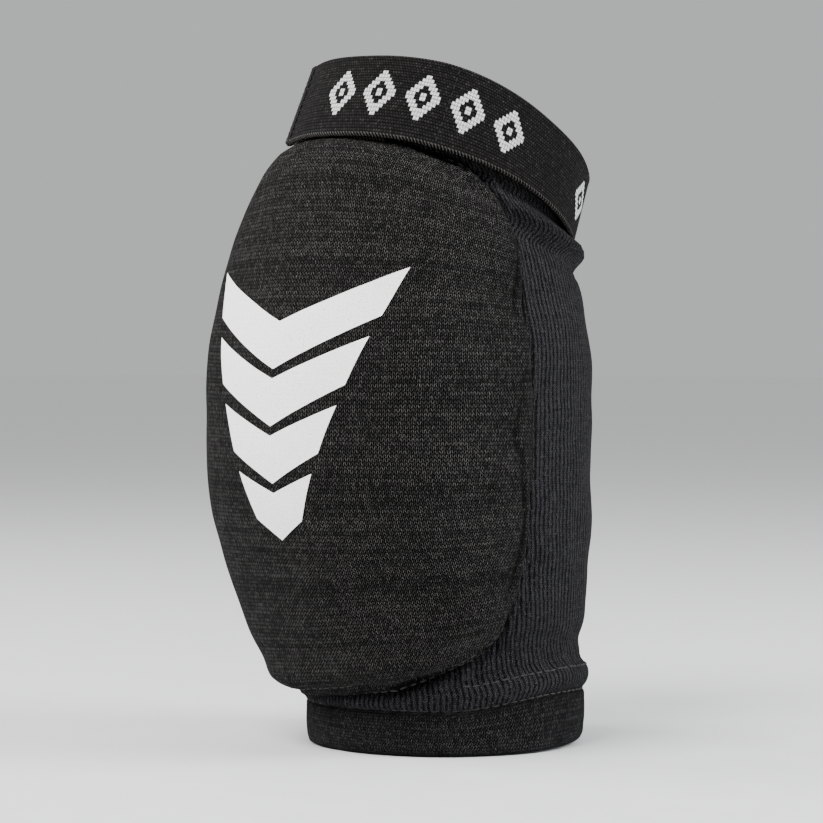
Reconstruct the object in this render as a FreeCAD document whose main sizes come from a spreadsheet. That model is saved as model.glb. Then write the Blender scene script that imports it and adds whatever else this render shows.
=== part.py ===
"""Slip-on elbow pad for striking sports: a knitted sleeve with an oval foam pad and a hook-and-loop strap.

Millimetres and degrees. The origin is the centre of the lower opening, on the plane the pad stands on.
+Z runs up the sleeve to the strap. The foam pad faces -Y. The strap and the upper cuff share a leaning
frame, the ring frame, whose own Z is the axis of the upper opening.
Bearings about an axis are 0 at the front (-Y) and grow towards +X.
"""
import FreeCAD
import Part
import Sketcher
import math
import os
import sys

Vector = FreeCAD.Vector
Placement = FreeCAD.Placement
Rotation = FreeCAD.Rotation
UP = Vector(0, 0, 1)

DIMENSIONS = {
    # lower cuff: a turned-up hem, U-shaped in section, with an elastic band inside the fold
    "cuff_inner_radius": 43.5,
    "cuff_outer_radius": 47.5,
    "cuff_height": 17.0,
    "cuff_layer": 1.3,
    "cuff_edge_round": 0.8,
    "elastic_thickness": 1.2,
    "elastic_height": 11.0,
    "hem_thread_height": 14.6,
    "thread_radius": 0.35,
    # sleeve: knitted tube
    "sleeve_wall": 2.2,
    # ring frame of the upper cuff and the strap
    "ring_height": 201.5,
    "ring_lean": 23.0,
    "ring_turn": -10.0,
    "upper_inner_radius": 43.4,
    "upper_outer_radius": 46.6,
    "upper_layer": 1.0,
    "upper_below": 12.5,
    "upper_above": 11.0,
    # foam pad and its knitted cover
    "pad_centre_height": 105.0,
    "pad_rise": 107.0,
    "pad_drop": 88.0,
    "pad_half_width": 65.0,
    "pad_front_depth": 54.5,
    "pad_back_depth": 18.0,
    "pad_set_forward": 28.0,
    "pad_ledge": 0.08,
    "pad_side_shift": -2.5,
    "pad_side_lean": 0.03,
    "hem_clearance": 0.7,
    "cover_thickness": 1.5,
    "foam_top_gap": 2.4,
    "seam_width": 4.0,
    "seam_thickness": 1.0,
    "seam_thread_offset": 1.8,
    "seam_thread_width": 0.8,
    "seam_thread_thickness": 0.6,
    # printed emblem: four stacked chevrons
    "emblem_height": 111.0,
    "emblem_half_width": 42.0,
    "emblem_bar": 15.5,
    "emblem_pitch": 22.0,
    "emblem_drop": 17.0,
    "emblem_taper": 8.5,
    "emblem_thickness": 0.3,
    # strap
    "strap_inner_radius": 46.9,
    "strap_thickness": 1.8,
    "strap_width": 25.0,
    "strap_pad_gap": 0.6,
    "hinge_gap": 2.0,
    "patch_thickness": 1.0,
    "patch_width": 22.0,
    "patch_gap": 0.3,
    "binding_length": 3.5,
    "binding_lap": 0.4,
    "stitch_radius": 0.3,
    "stitch_length": 2.2,
    "stitch_pitch": 3.0,
}

# bearings round the ring frame, in degrees; the strap winds from the anchor towards falling bearings
ANCHOR_START = 30.0
HINGE_BACK = -150.0
HINGE_SIDE = -240.0
HINGE_TAB = -315.0
TAB_END = -395.0
PATCH_MARGIN = 2.0
# the stitch row over the sleeve's lower roll starts beside the pad, at this bearing either side
ROLL_THREAD_START = 62.0

# sleeve stations: name, height, centre y, half width, half depth, share of the ring's lean
SLEEVE_STATIONS = [
    ("hem", 17.0, 0.0, 46.0, 46.0, 0.0),
    ("roll", 23.5, 0.0, 48.4, 48.4, 0.0),
    ("waist", 32.0, -0.3, 46.4, 46.8, 0.0),
    ("lower", 48.0, -1.5, 48.2, 50.6, 0.0),
    ("forearm", 75.0, -4.5, 51.0, 56.0, 0.0),
    ("elbow", 108.0, -6.5, 52.2, 58.2, 0.0),
    ("upper_arm", 140.0, -4.5, 50.2, 54.8, 0.0),
    ("shoulder_side", 167.0, -4.6, 47.2, 49.2, 0.5),
]

# pad stations, as shares of the way from the pad's middle down (negative) or up (positive) to its tips
PAD_STATIONS = [-0.97, -0.92, -0.84, -0.72, -0.56, -0.36, -0.12, 0.12, 0.36, 0.56, 0.72, 0.84, 0.92, 0.97]
# how full the pad stays towards each tip: (share exponent, closing exponent) for its width and for its depth
PAD_WIDTH_CLOSE = {"rise": (3.2, 0.45), "drop": (4.0, 0.55)}
PAD_DEPTH_CLOSE = {"rise": (2.4, 0.5), "drop": (4.2, 0.5)}

doc = FreeCAD.newDocument("elbow_pad")
sheet = doc.addObject("Spreadsheet::Sheet", "Dimensions")
_rows = []


def set_dimension(name, value):
    """One row of the sheet: the name, the plain number, and the alias that expressions use."""
    row = len(_rows) + 1
    _rows.append(name)
    sheet.set(f"A{row}", name)
    sheet.set(f"B{row}", repr(value))
    sheet.setAlias(f"B{row}", name)


def fill_sheet():
    for name, value in DIMENSIONS.items():
        set_dimension(name, value)
    for name, height, centre, width, depth, _ in SLEEVE_STATIONS:
        set_dimension(f"{name}_height", height)
        set_dimension(f"{name}_centre_y", centre)
        set_dimension(f"{name}_half_width", width)
        set_dimension(f"{name}_half_depth", depth)
    doc.recompute()


def size(name):
    """The number a cell holds, for the few places that take a value and no expression."""
    return float(sheet.get(name))


def bind(thing, **expressions):
    """Binds properties to expressions over the sheet. Words such as cuff_height become Dimensions.cuff_height."""
    names = sorted(_rows, key=len, reverse=True)
    for key, text in expressions.items():
        words = []
        for word in text.replace("(", " ( ").replace(")", " ) ").replace(",", " , ").split():
            words.append(f"Dimensions.{word}" if word in names else word)
        thing.setExpression(key.replace("__", "."), " ".join(words))
    return thing


def ring_frame(height=0.0, turn=0.0):
    """The leaning frame of the upper opening, raised along its own axis and turned about it."""
    lean = Rotation(UP, size("ring_turn")) * Rotation(Vector(1, 0, 0), -size("ring_lean"))
    base = Placement(Vector(0, 0, size("ring_height")), lean)
    return base * Placement(Vector(0, 0, height), Rotation(UP, turn))


def ring_point(bearing, radius, height=0.0):
    """A point in the ring frame's own coordinates."""
    angle = math.radians(bearing)
    return Vector(radius * math.sin(angle), -radius * math.cos(angle), height)


# ---------------------------------------------------------------- building blocks

def cylinder(name, radius, height, place=None, angle=None):
    made = doc.addObject("Part::Cylinder", name)
    bind(made, Radius=radius, Height=height)
    if angle is not None:
        made.Angle = angle
    if place is not None:
        made.Placement = place
    return made


def cut(name, base, tool):
    made = doc.addObject("Part::Cut", name)
    made.Base = base
    made.Tool = tool
    return made


def common(name, first, second):
    made = doc.addObject("Part::Common", name)
    made.Base = first
    made.Tool = second
    return made


def fuse(name, shapes):
    made = doc.addObject("Part::MultiFuse", name)
    made.Shapes = shapes
    return made


def loft(name, sections):
    made = doc.addObject("Part::Loft", name)
    made.Sections = sections
    made.Solid = True
    made.Ruled = False
    return made


def arc_band(name, inner, thickness, width, start, sweep, height, centre=None):
    """A band that follows part of a circle in the ring frame, from bearing start through sweep degrees.

    centre moves the circle off the ring's axis, in the ring frame's own coordinates.
    """
    middle = Placement(centre or Vector(), Rotation())
    first = min(start, start + sweep) - 90.0
    place = ring_frame() * middle * Placement(Vector(0, 0, height), Rotation(UP, first))
    outside = cylinder(name + "_outside", f"{inner} + {thickness}", width, place, abs(sweep))
    inside = cylinder(name + "_inside", inner, width, place, abs(sweep))
    return cut(name, outside, inside)


def hem_profile(sketch, low, high, inner, outer, layer, opening_up):
    """A U-shaped hem section: two layers and the fold that joins them. All lengths are sheet expressions."""
    closed, opened = (low, high) if opening_up else (high, low)
    fold = f"{closed} + {layer}" if opening_up else f"{closed} - {layer}"
    corners = [
        (inner, closed), (outer, closed), (outer, opened), (f"{outer} - {layer}", opened),
        (f"{outer} - {layer}", fold), (f"{inner} + {layer}", fold), (f"{inner} + {layer}", opened), (inner, opened),
    ]
    draw_outline(sketch, corners)


def draw_outline(sketch, corners):
    """A closed outline of straight lines, each corner held by two named distances bound to the sheet."""
    values = [(evaluate(x), evaluate(y)) for x, y in corners]
    count = len(values)
    for i, (x, y) in enumerate(values):
        nx, ny = values[(i + 1) % count]
        sketch.addGeometry(Part.LineSegment(Vector(x, y, 0), Vector(nx, ny, 0)), False)
    for i in range(count):
        sketch.addConstraint(Sketcher.Constraint("Coincident", i, 2, (i + 1) % count, 1))
    for i, (x_text, y_text) in enumerate(corners):
        x, y = values[i]
        if abs(x) < 1e-9:
            sketch.addConstraint(Sketcher.Constraint("PointOnObject", i, 1, -2))
        else:
            hold(sketch, "DistanceX", i, x, x_text, f"across_{i}")
        if abs(y) < 1e-9:
            sketch.addConstraint(Sketcher.Constraint("PointOnObject", i, 1, -1))
        else:
            hold(sketch, "DistanceY", i, y, y_text, f"along_{i}")


def hold(sketch, kind, line, value, text, name):
    index = sketch.addConstraint(Sketcher.Constraint(kind, -1, 1, line, 1, value))
    sketch.renameConstraint(index, name)
    bind(sketch, **{f"Constraints__{name}": text})


def evaluate(text):
    """The number an expression over the sheet stands for now."""
    names = {name: size(name) for name in _rows}
    total = 0.0
    sign = 1.0
    for word in text.split():
        if word in "+-":
            sign = 1.0 if word == "+" else -1.0
            continue
        total += sign * (names[word] if word in names else float(word))
        sign = 1.0
    return total


def origin_plane(body, role):
    return next(f for f in body.Origin.OriginFeatures if f.Role == role)


def revolved_body(name, draw):
    """A PartDesign body: a section in the XZ plane, turned right round the Z axis."""
    body = doc.addObject("PartDesign::Body", name)
    sketch = body.newObject("Sketcher::SketchObject", name + "_section")
    sketch.AttachmentSupport = (origin_plane(body, "XZ_Plane"), [""])
    sketch.MapMode = "FlatFace"
    draw(sketch)
    doc.recompute()
    turn = body.newObject("PartDesign::Revolution", name + "_turn")
    turn.Profile = sketch
    turn.ReferenceAxis = (sketch, ["V_Axis"])
    turn.Angle = 360.0
    body.Tip = turn
    doc.recompute()
    return body, turn


def ring_of_fabric(name, inner, outer, low, high):
    body, _ = revolved_body(name, lambda sketch: draw_outline(
        sketch, [(inner, low), (outer, low), (outer, high), (inner, high)]))
    return body


# ---------------------------------------------------------------- cuffs

def lower_cuff():
    body, turn = revolved_body("lower_cuff", lambda sketch: hem_profile(
        sketch, "0", "cuff_height", "cuff_inner_radius", "cuff_outer_radius", "cuff_layer", True))
    edges = [f"Edge{i + 1}" for i, edge in enumerate(turn.Shape.Edges) if edge.BoundBox.ZMax < 0.01]
    rounded = body.newObject("PartDesign::Fillet", "lower_cuff_round")
    rounded.Base = (turn, edges)
    bind(rounded, Radius="cuff_edge_round")
    body.Tip = rounded
    return body


def lower_elastic():
    return ring_of_fabric(
        "lower_cuff_elastic", "cuff_inner_radius + cuff_layer + 0.1",
        "cuff_inner_radius + cuff_layer + 0.1 + elastic_thickness", "cuff_layer", "cuff_layer + elastic_height")


def thread_ring(name, radius, height, front_gap=0.0):
    """A stitch row round the sleeve, open in front for front_gap degrees either side of the middle."""
    made = doc.addObject("Part::Torus", name)
    made.Placement = Placement(Vector(), Rotation(UP, front_gap - 90.0))
    made.Angle3 = 360.0 - 2 * front_gap
    return bind(made, Radius1=radius, Radius2="thread_radius", Placement__Base__z=height)


def upper_cuff():
    body, _ = revolved_body("upper_cuff", lambda sketch: hem_profile(
        sketch, "0 - upper_below", "upper_above", "upper_inner_radius", "upper_outer_radius", "upper_layer", False))
    body.Placement = ring_frame()
    return body


def upper_elastic():
    body = ring_of_fabric(
        "upper_cuff_elastic", "upper_inner_radius + upper_layer",
        "upper_inner_radius + upper_layer + elastic_thickness",
        "upper_above - upper_layer - elastic_height", "upper_above - upper_layer")
    body.Placement = ring_frame()
    return body


# ---------------------------------------------------------------- sleeve

def sleeve_form(name, grow):
    """The sleeve's outer shape as a filled solid, with every station grown by an expression."""
    quarter = Rotation(UP, 90)
    sections = []
    for station, height, centre, _, _, lean_share in SLEEVE_STATIONS:
        ring = doc.addObject("Part::Ellipse", f"{name}_{station}")
        lean = Rotation(UP, size("ring_turn") * lean_share)
        lean = lean * Rotation(Vector(1, 0, 0), -size("ring_lean") * lean_share)
        ring.Placement = Placement(Vector(0, centre, height), lean * quarter)
        bind(ring, MajorRadius=f"{station}_half_depth + {grow}", MinorRadius=f"{station}_half_width + {grow}",
             Placement__Base__y=f"{station}_centre_y", Placement__Base__z=f"{station}_height")
        sections.append(ring)
    top = doc.addObject("Part::Ellipse", f"{name}_top")
    top.Placement = ring_frame(-size("upper_below"), 90)
    bind(top, MajorRadius=f"upper_outer_radius - 0.3 + {grow}", MinorRadius=f"upper_outer_radius - 0.3 + {grow}")
    sections.append(top)
    return loft(name, sections)


# ---------------------------------------------------------------- pad

def pad_half(name, grow, depth, behind_seam):
    """Half of the pad's form, in front of or behind its widest plane, grown by an expression.

    Its sections are ellipses whose width and depth close towards both tips. The back half is a hair narrower,
    so that the two halves meet in a clean ledge.
    """
    sections = []
    inset = "pad_ledge" if behind_seam else "0"
    for number, share in enumerate(PAD_STATIONS):
        way = "rise" if share > 0 else "drop"
        wide = (1 - abs(share) ** PAD_WIDTH_CLOSE[way][0]) ** PAD_WIDTH_CLOSE[way][1]
        deep = (1 - abs(share) ** PAD_DEPTH_CLOSE[way][0]) ** PAD_DEPTH_CLOSE[way][1]
        height = f"( pad_{way} + {grow} ) * {share}"
        ring = doc.addObject("Part::Ellipse", f"{name}_{number}")
        bind(ring, MajorRadius=f"pad_half_width * {wide:.5f} + {grow} - {inset}",
             MinorRadius=f"{depth} * {deep:.5f} + {grow}",
             Placement__Base__x=f"pad_side_shift - pad_side_lean * {height}",
             Placement__Base__y="0 - pad_set_forward",
             Placement__Base__z=f"pad_centre_height + {height}")
        sections.append(ring)
    other_half = doc.addObject("Part::Box", name + "_other_half")
    other_half.Length = 240
    other_half.Width = 120
    other_half.Height = 300
    other_half.Placement = Placement(Vector(-120, 0, -20), Rotation())
    start = "0 - pad_set_forward - 120" if behind_seam else "0 - pad_set_forward"
    bind(other_half, Placement__Base__y=start)
    return cut(name, loft(name + "_full", sections), other_half)


def pad_form(name, grow):
    """The pad's full outer form: a deep front half and a shallow back half that share their widest outline."""
    front = pad_half(name + "_front", grow, "pad_front_depth", False)
    back = pad_half(name + "_back", grow, "pad_back_depth", True)
    return fuse(name, [front, back])


def pad_limits(name, below_strap):
    """What the pad keeps clear of: the strap's band and the lower cuff."""
    band = cylinder(name + "_band", "2 * upper_outer_radius", "4 * strap_width",
                    ring_frame(-size("strap_width") / 2 - size("strap_pad_gap") - below_strap))
    hem = cylinder(name + "_hem", "cuff_outer_radius + hem_clearance", "cuff_height + hem_clearance")
    return fuse(name, [band, hem])


def trimmed_form(name, form, sleeve_solid, limits):
    """A pad form with the sleeve taken out of its back and its limits taken off its edges."""
    outside = cut(name + "_outside", form, sleeve_solid)
    return cut(name, outside, limits)


def build_pad(sleeve_solid):
    """Foam core, knitted cover, the seam allowance that holds the cover down, and its thread."""
    cover_form = pad_form("cover_form", "0")
    foam_form = pad_form("foam_form", "0 - cover_thickness")
    cover_limits = pad_limits("cover_limits", 0.0)
    foam_limits = pad_limits("foam_limits", size("foam_top_gap"))
    foam = trimmed_form("foam_core", foam_form, sleeve_solid, foam_limits)
    cover_block = trimmed_form("cover_block", cover_form, sleeve_solid, cover_limits)
    cover = cut("pad_cover", cover_block, foam)

    seam_sleeve = sleeve_form("seam_sleeve", "seam_thickness")
    seam_form = pad_form("seam_form", "seam_width")
    seam_overlap = common("seam_overlap", seam_sleeve, seam_form)
    seam_strip = trimmed_form("seam_strip", seam_overlap, sleeve_solid, cover_limits)
    allowance = cut("pad_seam_allowance", seam_strip, cover_form)

    thread_sleeve = sleeve_form("thread_sleeve", "seam_thickness + seam_thread_thickness")
    thread_outside = pad_form("thread_outside", "seam_thread_offset + seam_thread_width")
    thread_inside = pad_form("thread_inside", "seam_thread_offset")
    thread_overlap = common("thread_overlap", thread_sleeve, thread_outside)
    thread_strip = trimmed_form("thread_strip", thread_overlap, seam_sleeve, cover_limits)
    thread = cut("pad_seam_thread", thread_strip, thread_inside)
    return cover_form, [foam, cover, allowance, thread]


def emblem_outline():
    """A compound of faces: four chevrons, each narrower than the one above it."""
    top = size("emblem_height") + 1.5 * size("emblem_pitch") + size("emblem_bar") / 2 + size("emblem_drop") / 2
    faces = []
    for row in range(4):
        wide = size("emblem_half_width") - row * size("emblem_taper")
        narrow = wide - size("emblem_taper") * size("emblem_bar") / size("emblem_pitch")
        high = top - row * size("emblem_pitch")
        low = high - size("emblem_bar")
        drop = size("emblem_drop") * wide / size("emblem_half_width")
        corners = [(-wide, high), (0, high - drop), (wide, high), (narrow, low), (0, low - drop), (-narrow, low)]
        points = [Vector(x + size("pad_side_shift"), -2 * size("pad_front_depth"), z) for x, z in corners]
        faces.append(Part.Face(Part.makePolygon(points + points[:1])))
    return Part.makeCompound(faces)


def printed_emblem(cover_form):
    """A thin printed film that follows the pad's face."""
    outline = doc.addObject("Part::Feature", "emblem_outline")
    outline.Shape = emblem_outline()
    block = doc.addObject("Part::Extrusion", "emblem_block")
    block.Base = outline
    block.Dir = Vector(0, 1, 0)
    block.Solid = True
    bind(block, LengthFwd="pad_front_depth + pad_set_forward")
    film_form = pad_form("film_form", "emblem_thickness")
    return cut("printed_emblem", common("emblem_area", block, film_form), cover_form)


# ---------------------------------------------------------------- strap

def gap_angle(radius):
    """Half the gap at a hinge, as degrees at that radius."""
    return math.degrees(size("hinge_gap") / 2 / radius)


def tab_inner_radius():
    return size("strap_inner_radius") + size("strap_thickness") + 2 * size("patch_thickness") + size("patch_gap")


def side_circle():
    """Centre and mid radius of the circle that leaves the wrapped turn at the side hinge and meets the tab."""
    start = size("strap_inner_radius") + size("strap_thickness") / 2
    end = tab_inner_radius() + size("strap_thickness") / 2
    spread = math.cos(math.radians(HINGE_SIDE - HINGE_TAB))
    radius = (start ** 2 + end ** 2 - 2 * start * end * spread) / (2 * (start - end * spread))
    return ring_point(HINGE_SIDE, start - radius), radius


def bearing_from(centre, bearing, radius):
    """Bearing, seen from centre, of the ring point at a bearing and radius."""
    point = ring_point(bearing, radius) - centre
    return math.degrees(math.atan2(point.x, -point.y))


def wrapped_band(name, start, end):
    """A stretch of the strap's wrapped turn, between two bearings."""
    return arc_band(name, "strap_inner_radius", "strap_thickness", "strap_width",
                    start, end - start, -size("strap_width") / 2)


def side_band():
    centre, radius = side_circle()
    end_radius = tab_inner_radius() + size("strap_thickness") / 2
    first = bearing_from(centre, HINGE_SIDE, size("strap_inner_radius") + size("strap_thickness") / 2)
    last = bearing_from(centre, HINGE_TAB, end_radius)
    gap = gap_angle(radius)
    inner = f"{radius - size('strap_thickness') / 2:.6f}"
    return arc_band("strap_side", inner, "strap_thickness", "strap_width",
                    first - gap, last - first + 2 * gap, -size("strap_width") / 2, centre)


def stitch_line(name, bearing, radius, rows):
    """A row of stitches across the strap at a bearing, lying on the band's face."""
    stitches = []
    for row in rows:
        height = row * size("stitch_pitch") - size("stitch_length") / 2
        place = ring_frame() * Placement(ring_point(bearing, radius, height), Rotation())
        stitches.append(cylinder(f"{name}_{len(stitches)}", "stitch_radius", "stitch_length", place))
    return stitches


def group(name, members):
    made = doc.addObject("Part::Compound", name)
    made.Links = members
    return made


def build_strap():
    gap = gap_angle(size("strap_inner_radius") + size("strap_thickness") / 2)
    tab_radius = tab_inner_radius()
    tab_inner = f"{tab_radius:.6f}"
    tab_gap = gap_angle(tab_radius)
    patch_low = -size("patch_width") / 2
    patch_start = ANCHOR_START - PATCH_MARGIN
    patch_end = TAB_END + 360 + PATCH_MARGIN
    anchor = wrapped_band("strap_anchor", ANCHOR_START, HINGE_BACK + gap)
    back = wrapped_band("strap_back", HINGE_BACK - gap, HINGE_SIDE + gap)
    side = side_band()
    tab = arc_band("strap_tab", tab_inner, "strap_thickness", "strap_width",
                   HINGE_TAB - tab_gap, TAB_END - HINGE_TAB + tab_gap, -size("strap_width") / 2)
    loop = arc_band("loop_patch", "strap_inner_radius + strap_thickness", "patch_thickness", "patch_width",
                    patch_start, patch_end - patch_start, patch_low)
    hook_inner = f"{tab_radius - size('patch_thickness'):.6f}"
    hook = arc_band("hook_patch", hook_inner, "patch_thickness", "patch_width",
                    HINGE_TAB + 360 - 2 * PATCH_MARGIN, patch_end - HINGE_TAB - 360 + 2 * PATCH_MARGIN, patch_low)
    binding_sweep = math.degrees(size("binding_length") / tab_radius)
    binding = arc_band("tab_end_binding", f"{tab_radius - size('binding_lap'):.6f}",
                       "strap_thickness + 2 * binding_lap", "strap_width",
                       TAB_END, -binding_sweep, -size("strap_width") / 2)
    rows = range(-3, 4)
    outer = size("strap_inner_radius") + size("strap_thickness")
    anchor_lines = []
    for number, bearing in enumerate((-52.0, -60.0, HINGE_BACK + 4.0)):
        anchor_lines += stitch_line(f"anchor_stitch_{number}", bearing, outer, rows)
    tab_lines = []
    for number, bearing in enumerate((HINGE_TAB - 3.0, TAB_END + 3.0)):
        tab_lines += stitch_line(f"tab_stitch_{number}", bearing, tab_radius + size("strap_thickness"), rows)
    return [anchor, back, side, tab, loop, hook, binding,
            group("anchor_stitching", anchor_lines), group("tab_stitching", tab_lines)]


# ---------------------------------------------------------------- whole object

def build():
    fill_sheet()
    sleeve_outer = sleeve_form("sleeve_outer", "0")
    sleeve_inner = sleeve_form("sleeve_inner", "0 - sleeve_wall")
    nodes = [
        cut("sleeve_tube", sleeve_outer, sleeve_inner),
        lower_cuff(),
        lower_elastic(),
        thread_ring("lower_hem_thread", "cuff_outer_radius", "hem_thread_height"),
        thread_ring("sleeve_roll_thread", "roll_half_width", "roll_height", ROLL_THREAD_START),
        upper_cuff(),
        upper_elastic(),
    ]
    cover_form, pad_nodes = build_pad(sleeve_outer)
    nodes += pad_nodes
    nodes.append(printed_emblem(cover_form))
    nodes += build_strap()
    doc.recompute()
    return nodes


def check(nodes):
    """Stops if any object failed to build, or any sub-part is empty, invalid or not made of closed solids."""
    failed = [o.Name for o in doc.Objects if "Invalid" in o.State or "Error" in o.State]
    for node in nodes:
        shape = node.Shape
        if shape.isNull() or not shape.isValid() or not shape.Solids or shape.Volume <= 0:
            failed.append(node.Name)
    if failed:
        sys.exit("failed objects: " + ", ".join(failed))


def export(nodes):
    os.makedirs("parts", exist_ok=True)
    for node in nodes:
        node.Label = node.Name
        node.Shape.exportStep(os.path.join("parts", node.Label + ".step"))
        print(f"{node.Label}: {len(node.Shape.Solids)} solids, {node.Shape.Volume:.1f} mm3")


def print_joints():
    """Hinge points and the ring axis in the row frame, in metres, for the record."""
    start = size("strap_inner_radius") + size("strap_thickness") / 2
    end = tab_inner_radius() + size("strap_thickness") / 2
    for name, bearing, radius in (("back", HINGE_BACK, start), ("side", HINGE_SIDE, start), ("tab", HINGE_TAB, end)):
        point = ring_frame().multVec(ring_point(bearing, radius)) / 1000
        print(name, [round(v, 6) for v in point])
    print("ring axis", [round(v, 6) for v in ring_frame().Rotation.multVec(UP)])
    print("ring centre", [round(v / 1000, 6) for v in ring_frame().Base])


parts = build()
check(parts)
export(parts)
print_joints()
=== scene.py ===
"""Looks of the slip-on elbow pad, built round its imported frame.

Sizes are drawn in millimetres and turned into metres when a mesh is made. The frame is the part's own:
+Z up the sleeve, the pad faces -Y, bearings are 0 at the front and grow towards +X.
The strap and the upper cuff share the leaning ring frame of the upper opening.
"""

import math

import bmesh
import bpy
import numpy as np
from mathutils import Matrix, Vector, noise


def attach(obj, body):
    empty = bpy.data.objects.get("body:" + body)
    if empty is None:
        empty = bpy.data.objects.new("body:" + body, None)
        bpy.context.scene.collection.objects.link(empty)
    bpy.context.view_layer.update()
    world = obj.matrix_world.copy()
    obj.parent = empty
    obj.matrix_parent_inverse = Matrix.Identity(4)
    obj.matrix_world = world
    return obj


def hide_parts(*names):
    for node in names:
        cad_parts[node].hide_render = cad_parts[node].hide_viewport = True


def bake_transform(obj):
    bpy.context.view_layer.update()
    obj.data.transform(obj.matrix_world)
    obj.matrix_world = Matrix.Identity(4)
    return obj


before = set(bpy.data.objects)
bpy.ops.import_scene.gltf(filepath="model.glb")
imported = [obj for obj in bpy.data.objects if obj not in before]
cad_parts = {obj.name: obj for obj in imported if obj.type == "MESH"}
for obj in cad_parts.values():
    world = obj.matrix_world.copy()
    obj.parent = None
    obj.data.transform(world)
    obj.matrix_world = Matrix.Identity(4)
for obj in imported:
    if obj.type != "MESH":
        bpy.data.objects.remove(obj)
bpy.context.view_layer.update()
MM = 0.001

# ---------------------------------------------------------------- driving sizes

# the ring frame's height on the part's axis, its lean and turn, and how far the upper cuff reaches in it
RING_HEIGHT, RING_LEAN, RING_TURN = 201.5, 23.0, -10.0
RING_BELOW, RING_ABOVE = 12.5, 11.0
# radii of the lower and the upper cuff
CUFF_INNER, CUFF_OUTER = 43.5, 47.5
UPPER_INNER, UPPER_OUTER = 43.4, 46.6
# the sleeve's mean radius, for lengths round it, and its wall
SLEEVE_RADIUS, SLEEVE_WALL = 50, 2.0
# strap: its section, and the radius of its middle on the cuff and where the free end lies over the sewn run
STRAP_WIDTH, STRAP_THICK = 25.0, 1.8
STRAP_RADIUS, TAB_RADIUS = 47.8, 51.9
PATCH_WIDTH, PATCH_THICK = 22.0, 1.0
# turns along the strap, in degrees wound from the front: its start, its three folds, its seam and its end
ANCHOR_START, HINGE_BACK, HINGE_SIDE, HINGE_TAB = -30.0, 150.0, 240.0, 315.0
SEAM_TURN, TAB_END = 309.5, 384.0
HINGE_REACH = 9.0
# how far the free end's upper and lower corners stand off, over its last degrees
FREE_END_TOP, FREE_END_LOW, PEEL_TURN = -0.1, 0.2, 24.0
# how far the strap stands off at the side, more at its lower edge, and how far that edge sags in front
SIDE_CONE, SIDE_BULGE, FRONT_SAG = 2.0, 1.5, 4.2
# the woven diamonds: where the first group starts, their pitch and number, and the groups' repeat
MOTIF_START, MOTIF_PITCH, MOTIF_COUNT, MOTIF_REPEAT = 20.9, 15.2, 5, 102.6

# height, centre y, half width, half depth, share of the ring's lean
SLEEVE_STATIONS = [
    (14.5, 0.0, 46.6, 46.6, 0.0),
    (17.0, 0.0, 48.9, 48.7, 0.0),
    (20.5, 0.0, 50.0, 49.6, 0.0),
    (23.5, 0.0, 49.0, 48.7, 0.0),
    (25.2, 0.0, 47.4, 47.2, 0.0),
    (28.0, -0.1, 46.6, 46.6, 0.0),
    (32.0, -0.3, 46.0, 46.4, 0.0),
    (39.0, -0.8, 46.9, 48.2, 0.0),
    (48.0, -1.5, 48.2, 50.6, 0.0),
    (75.0, -4.5, 51.0, 56.0, 0.0),
    (108.0, -6.5, 52.2, 58.2, 0.0),
    (140.0, -4.5, 50.2, 54.8, 0.0),
    (167.0, -4.6, 47.2, 49.2, 0.5),
    (190.0, -4.8, 46.3, 46.3, 1.0),
]

# height, centre x, centre y, half width, front depth, back depth, squareness of the section
PAD_STATIONS = [
    (19.5, -0.2, -42.0, 18.0, 11.3, 3.0, 2.7),
    (22.0, -0.2, -40.0, 25.0, 16.0, 3.0, 2.6),
    (24.5, -0.2, -37.0, 31.7, 22.4, 4.0, 2.5),
    (27.0, -0.2, -33.5, 38.5, 28.3, 5.0, 2.5),
    (32.0, -0.3, -28.7, 46.0, 33.0, 8.0, 2.45),
    (40.0, -0.6, -27.6, 52.5, 36.5, 11.0, 2.25),
    (52.0, -0.9, -26.5, 58.2, 40.5, 14.0, 2.1),
    (72.0, -1.5, -24.3, 63.5, 48.0, 17.0, 2.0),
    (93.0, -2.1, -22.0, 65.0, 53.5, 18.0, 2.0),
    (113.0, -2.7, -21.6, 65.0, 54.5, 18.0, 2.0),
    (134.0, -3.2, -23.2, 64.5, 52.5, 18.0, 2.0),
    (149.0, -3.0, -23.0, 63.0, 48.0, 17.0, 2.0),
    (167.0, -0.5, -20.2, 60.0, 44.0, 14.0, 2.0),
    (178.0, -0.2, -20.0, 52.5, 40.0, 11.0, 2.0),
    (184.0, 0.0, -21.0, 44.5, 36.5, 9.0, 2.1),
    (188.0, 0.0, -25.5, 34.0, 30.5, 6.0, 2.2),
    (189.6, 0.0, -29.0, 27.0, 24.0, 4.0, 2.3),
]
# the pad's seam: its lowest and highest point, how its ends round off, and its lower end's slant
PAD_LOW, PAD_HIGH = 20.0, 186.4
PAD_LOW_ROUND, PAD_HIGH_ROUND = 5.0, 10.5
PAD_SKEW = 5.5
PAD_STITCH_INSET = 6.6
# gathers along the pad's sides: distance from the seam, and depth
PAD_GATHERS = ((3.4, 1.0), (8.2, 0.9), (13.6, 0.6))
# the cover as cloth: its share of the full depth before it swells, its slack, and the most it moves
PRESSED, CLOTH_SLACK, SWELL_LIMIT = 0.855, 0.03, 4.0
# how far the lower cuff lifts off the floor at one side
CUFF_LIFT, CUFF_LIFT_BEARING = 1.1, 122.0
HEM_STITCH_HEIGHT = 15.1
ROLL_STITCH_HEIGHT, ROLL_STITCH_START = 23.2, 47.0
# the strap's lower edge at the side, where the sleeve bunches under it
STRAP_EDGE_HEIGHT = 186.0

# ---------------------------------------------------------------- curves and frames


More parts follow.
